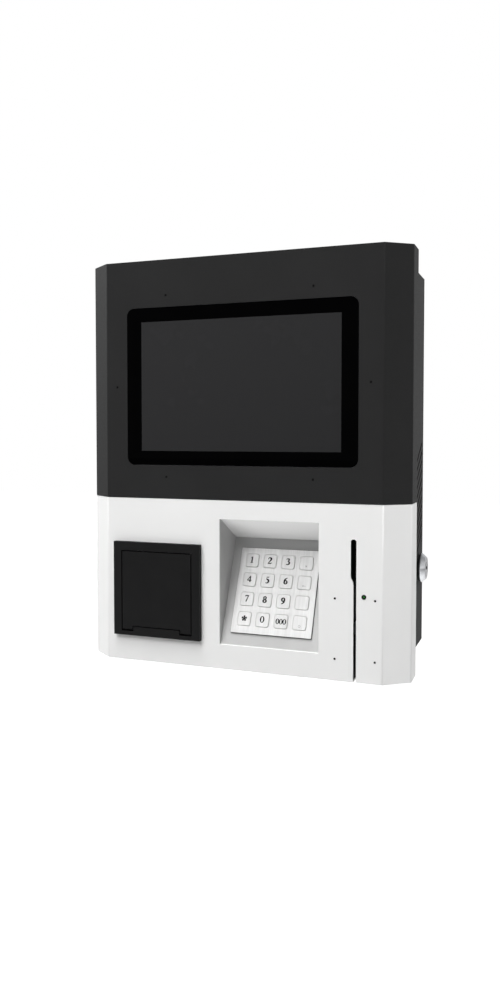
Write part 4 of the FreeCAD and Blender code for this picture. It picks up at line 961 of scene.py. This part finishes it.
def housing_details():
    """Parts on the main board and the power supply."""
    board = 11.6
    terminals = 16
    chips("main_board_chips", [(30, 8, -92, 141), (12, 12, -9, 109), (8, 8, -102, 109),
                               (20, 6, -17, 161)], FRONT, board, 13.6, "housing")
    port_shells("main_board_ports", [(16, 16, -105, 78), (16, 16, -85, 78), (14, 13, -65, 76.5),
                                     (31, 12, -39, 76)], FRONT, board, 22.6, "housing")
    socket_floor = 22.65
    sockets = []
    holes = [rounded(3, 3, 0.3, -3 + x, 81 + y, 2) for x in (-5.4, 0, 5.4) for y in (-5.4, 0, 5.4)]
    for outlines in ([rounded(18.4, 18.4, 0.6, -3, 81, 3)] + holes,
                     [rounded(10.4, 68.4, 0.6, 15, 131, 3), rounded(1.8, 60, 0.3, 15, 131, 2)]):
        sockets.append(sheet_mesh([outlines[0]], board, socket_floor))
        sockets.append(sheet_mesh(outlines, socket_floor, 24.2, 0.1))
    latches = [slab(12, 5, 15, 131 + side * 33, board, 25.4, 0.8) for side in (-1, 1)]
    piece("main_board_sockets", joined(sockets + latches), FRONT, "housing", "black_plastic")
    capacitors([(-84, 98), (-84, 108), (-84, 118), (-84, 128), (2, 112), (2, 124), (-10, 130),
                (-10, 142)], board, 20.6)
    pan_heads("main_board_screws", [(x, y) for x in (-116, 22) for y in (74, 168)], FRONT, board,
              "housing")
    pan_heads("terminal_screws", [(-113.5, -129 + 10 * step) for step in range(-3, 4)], FRONT, terminals,
              "housing", 3.2)


def door_details():
    """Parts on the back of the display, the keypad, the printer and the card reader."""
    display_board = -134
    reader_board = -116.4
    chip_height = 4
    chips("display_board_chips", [(30, 7, 50, 62.5), (40, 6, -20, 99.5), (16, 16, -10, 76.5),
                                  (12, 10, 30, 86.5)],
          BACK, display_board, display_board + chip_height, "front_door")
    chips("reader_board_chips", [(14, 8, -121.3, -156.8), (10, 10, -122.3, -114.8)],
          BACK, reader_board, reader_board + chip_height, "front_door")
    pan_heads("display_board_screws", [(x, SCREEN_UP + y) for x in (-84, 84) for y in (-20, 20)], BACK,
              display_board, "front_door", 2.2)
    hexagon_nuts("bracket_nuts", SCREEN_SCREWS, -146.5)
    hexagon_nuts("reader_nuts", READER_SCREWS, -145)
    printer_x = 90.2
    printer_y = -134.6
    lid_back = -82.4
    slots = [rounded(58, 3, 1.4, printer_x, printer_y + 9 * step, 5) for step in range(-2, 3)]
    lid = sheet_mesh([rounded(87, 87, 3, printer_x, printer_y)] + slots, -84, lid_back, 0.2)
    piece("printer_back_lid", lid, BACK, "front_door", "black_plastic")
    corners = [(printer_x + x, printer_y + y) for x in (-38, 38) for y in (-38, 38)]
    pan_heads("printer_lid_screws", corners, BACK, lid_back, "front_door")
    housing_back = 25.5
    rib_top = 26.7
    ribs = [slab(80, 1.4, 0, y, housing_back, rib_top) for y in (-34, -20, -6, 8, 22)]
    rim = sheet_mesh([rounded(90, 92, 2), rounded(86, 88, 1.5)], housing_back, rib_top, 0.2)
    piece("keypad_housing_ribs", joined(ribs + [rim]), KEYPAD_BACK, "front_door", "black_plastic")
    pin_pitch = 2.5
    pins = [rounded(0.7, 0.7, 0.1, pin_pitch * (step - 3.5), 36 + side * 1.3, 2)
            for step in range(8) for side in (-1, 1)]
    piece("keypad_socket_pins", sheet_mesh(pins, 20.5, 24.3), KEYPAD_BACK, "front_door", "zinc_steel")
    pan_heads("keypad_housing_screws", [(x, y) for x in (-39, 39) for y in (-27, 29)], KEYPAD_BACK,
              housing_back, "front_door")


# The scene

make_camera()
make_world()
materials = make_materials()
make_floor()
make_lamp("key_lamp", across=-18, up=45, distance=3.2, size=2.4, power=98)
make_lamp("top_lamp", across=-10, up=77, distance=2.4, size=1.2, power=56)
make_lamp("left_lamp", across=-92, up=30, distance=2.2, size=0.9, power=18, glints=True)
make_lamp("right_lamp", across=96, up=30, distance=2.2, size=1.2, power=28)
tray_light = bpy.data.collections.new("lit_by_tray_lamp")
tray_light.objects.link(nodes["recess_tray"])
tray_lamp = make_lamp("tray_lamp", across=-15, up=-64, distance=1.1, size=0.8, power=10.6)
tray_lamp.light_linking.receiver_collection = tray_light
make_lamp("rear_lamp", across=165, up=35, distance=2.2, size=1.2, power=22)
make_lamp("rear_left_lamp", across=-145, up=15, distance=2.2, size=1.2, power=12)

finish_nodes()
for name, width in SOFT_EDGES.items():
    soften(name, width)
keypad_plate()
for name, (x, y) in zip(KEY_NAMES, key_places()):
    key_cap(name, x, y)
    key_print(name, x, y)
cover_glass()
front_screw_heads()
status_lamp()
lock_head()
lock_shutter()
housing_details()
door_details()

bpy.context.scene.view_settings.view_transform = "Standard"
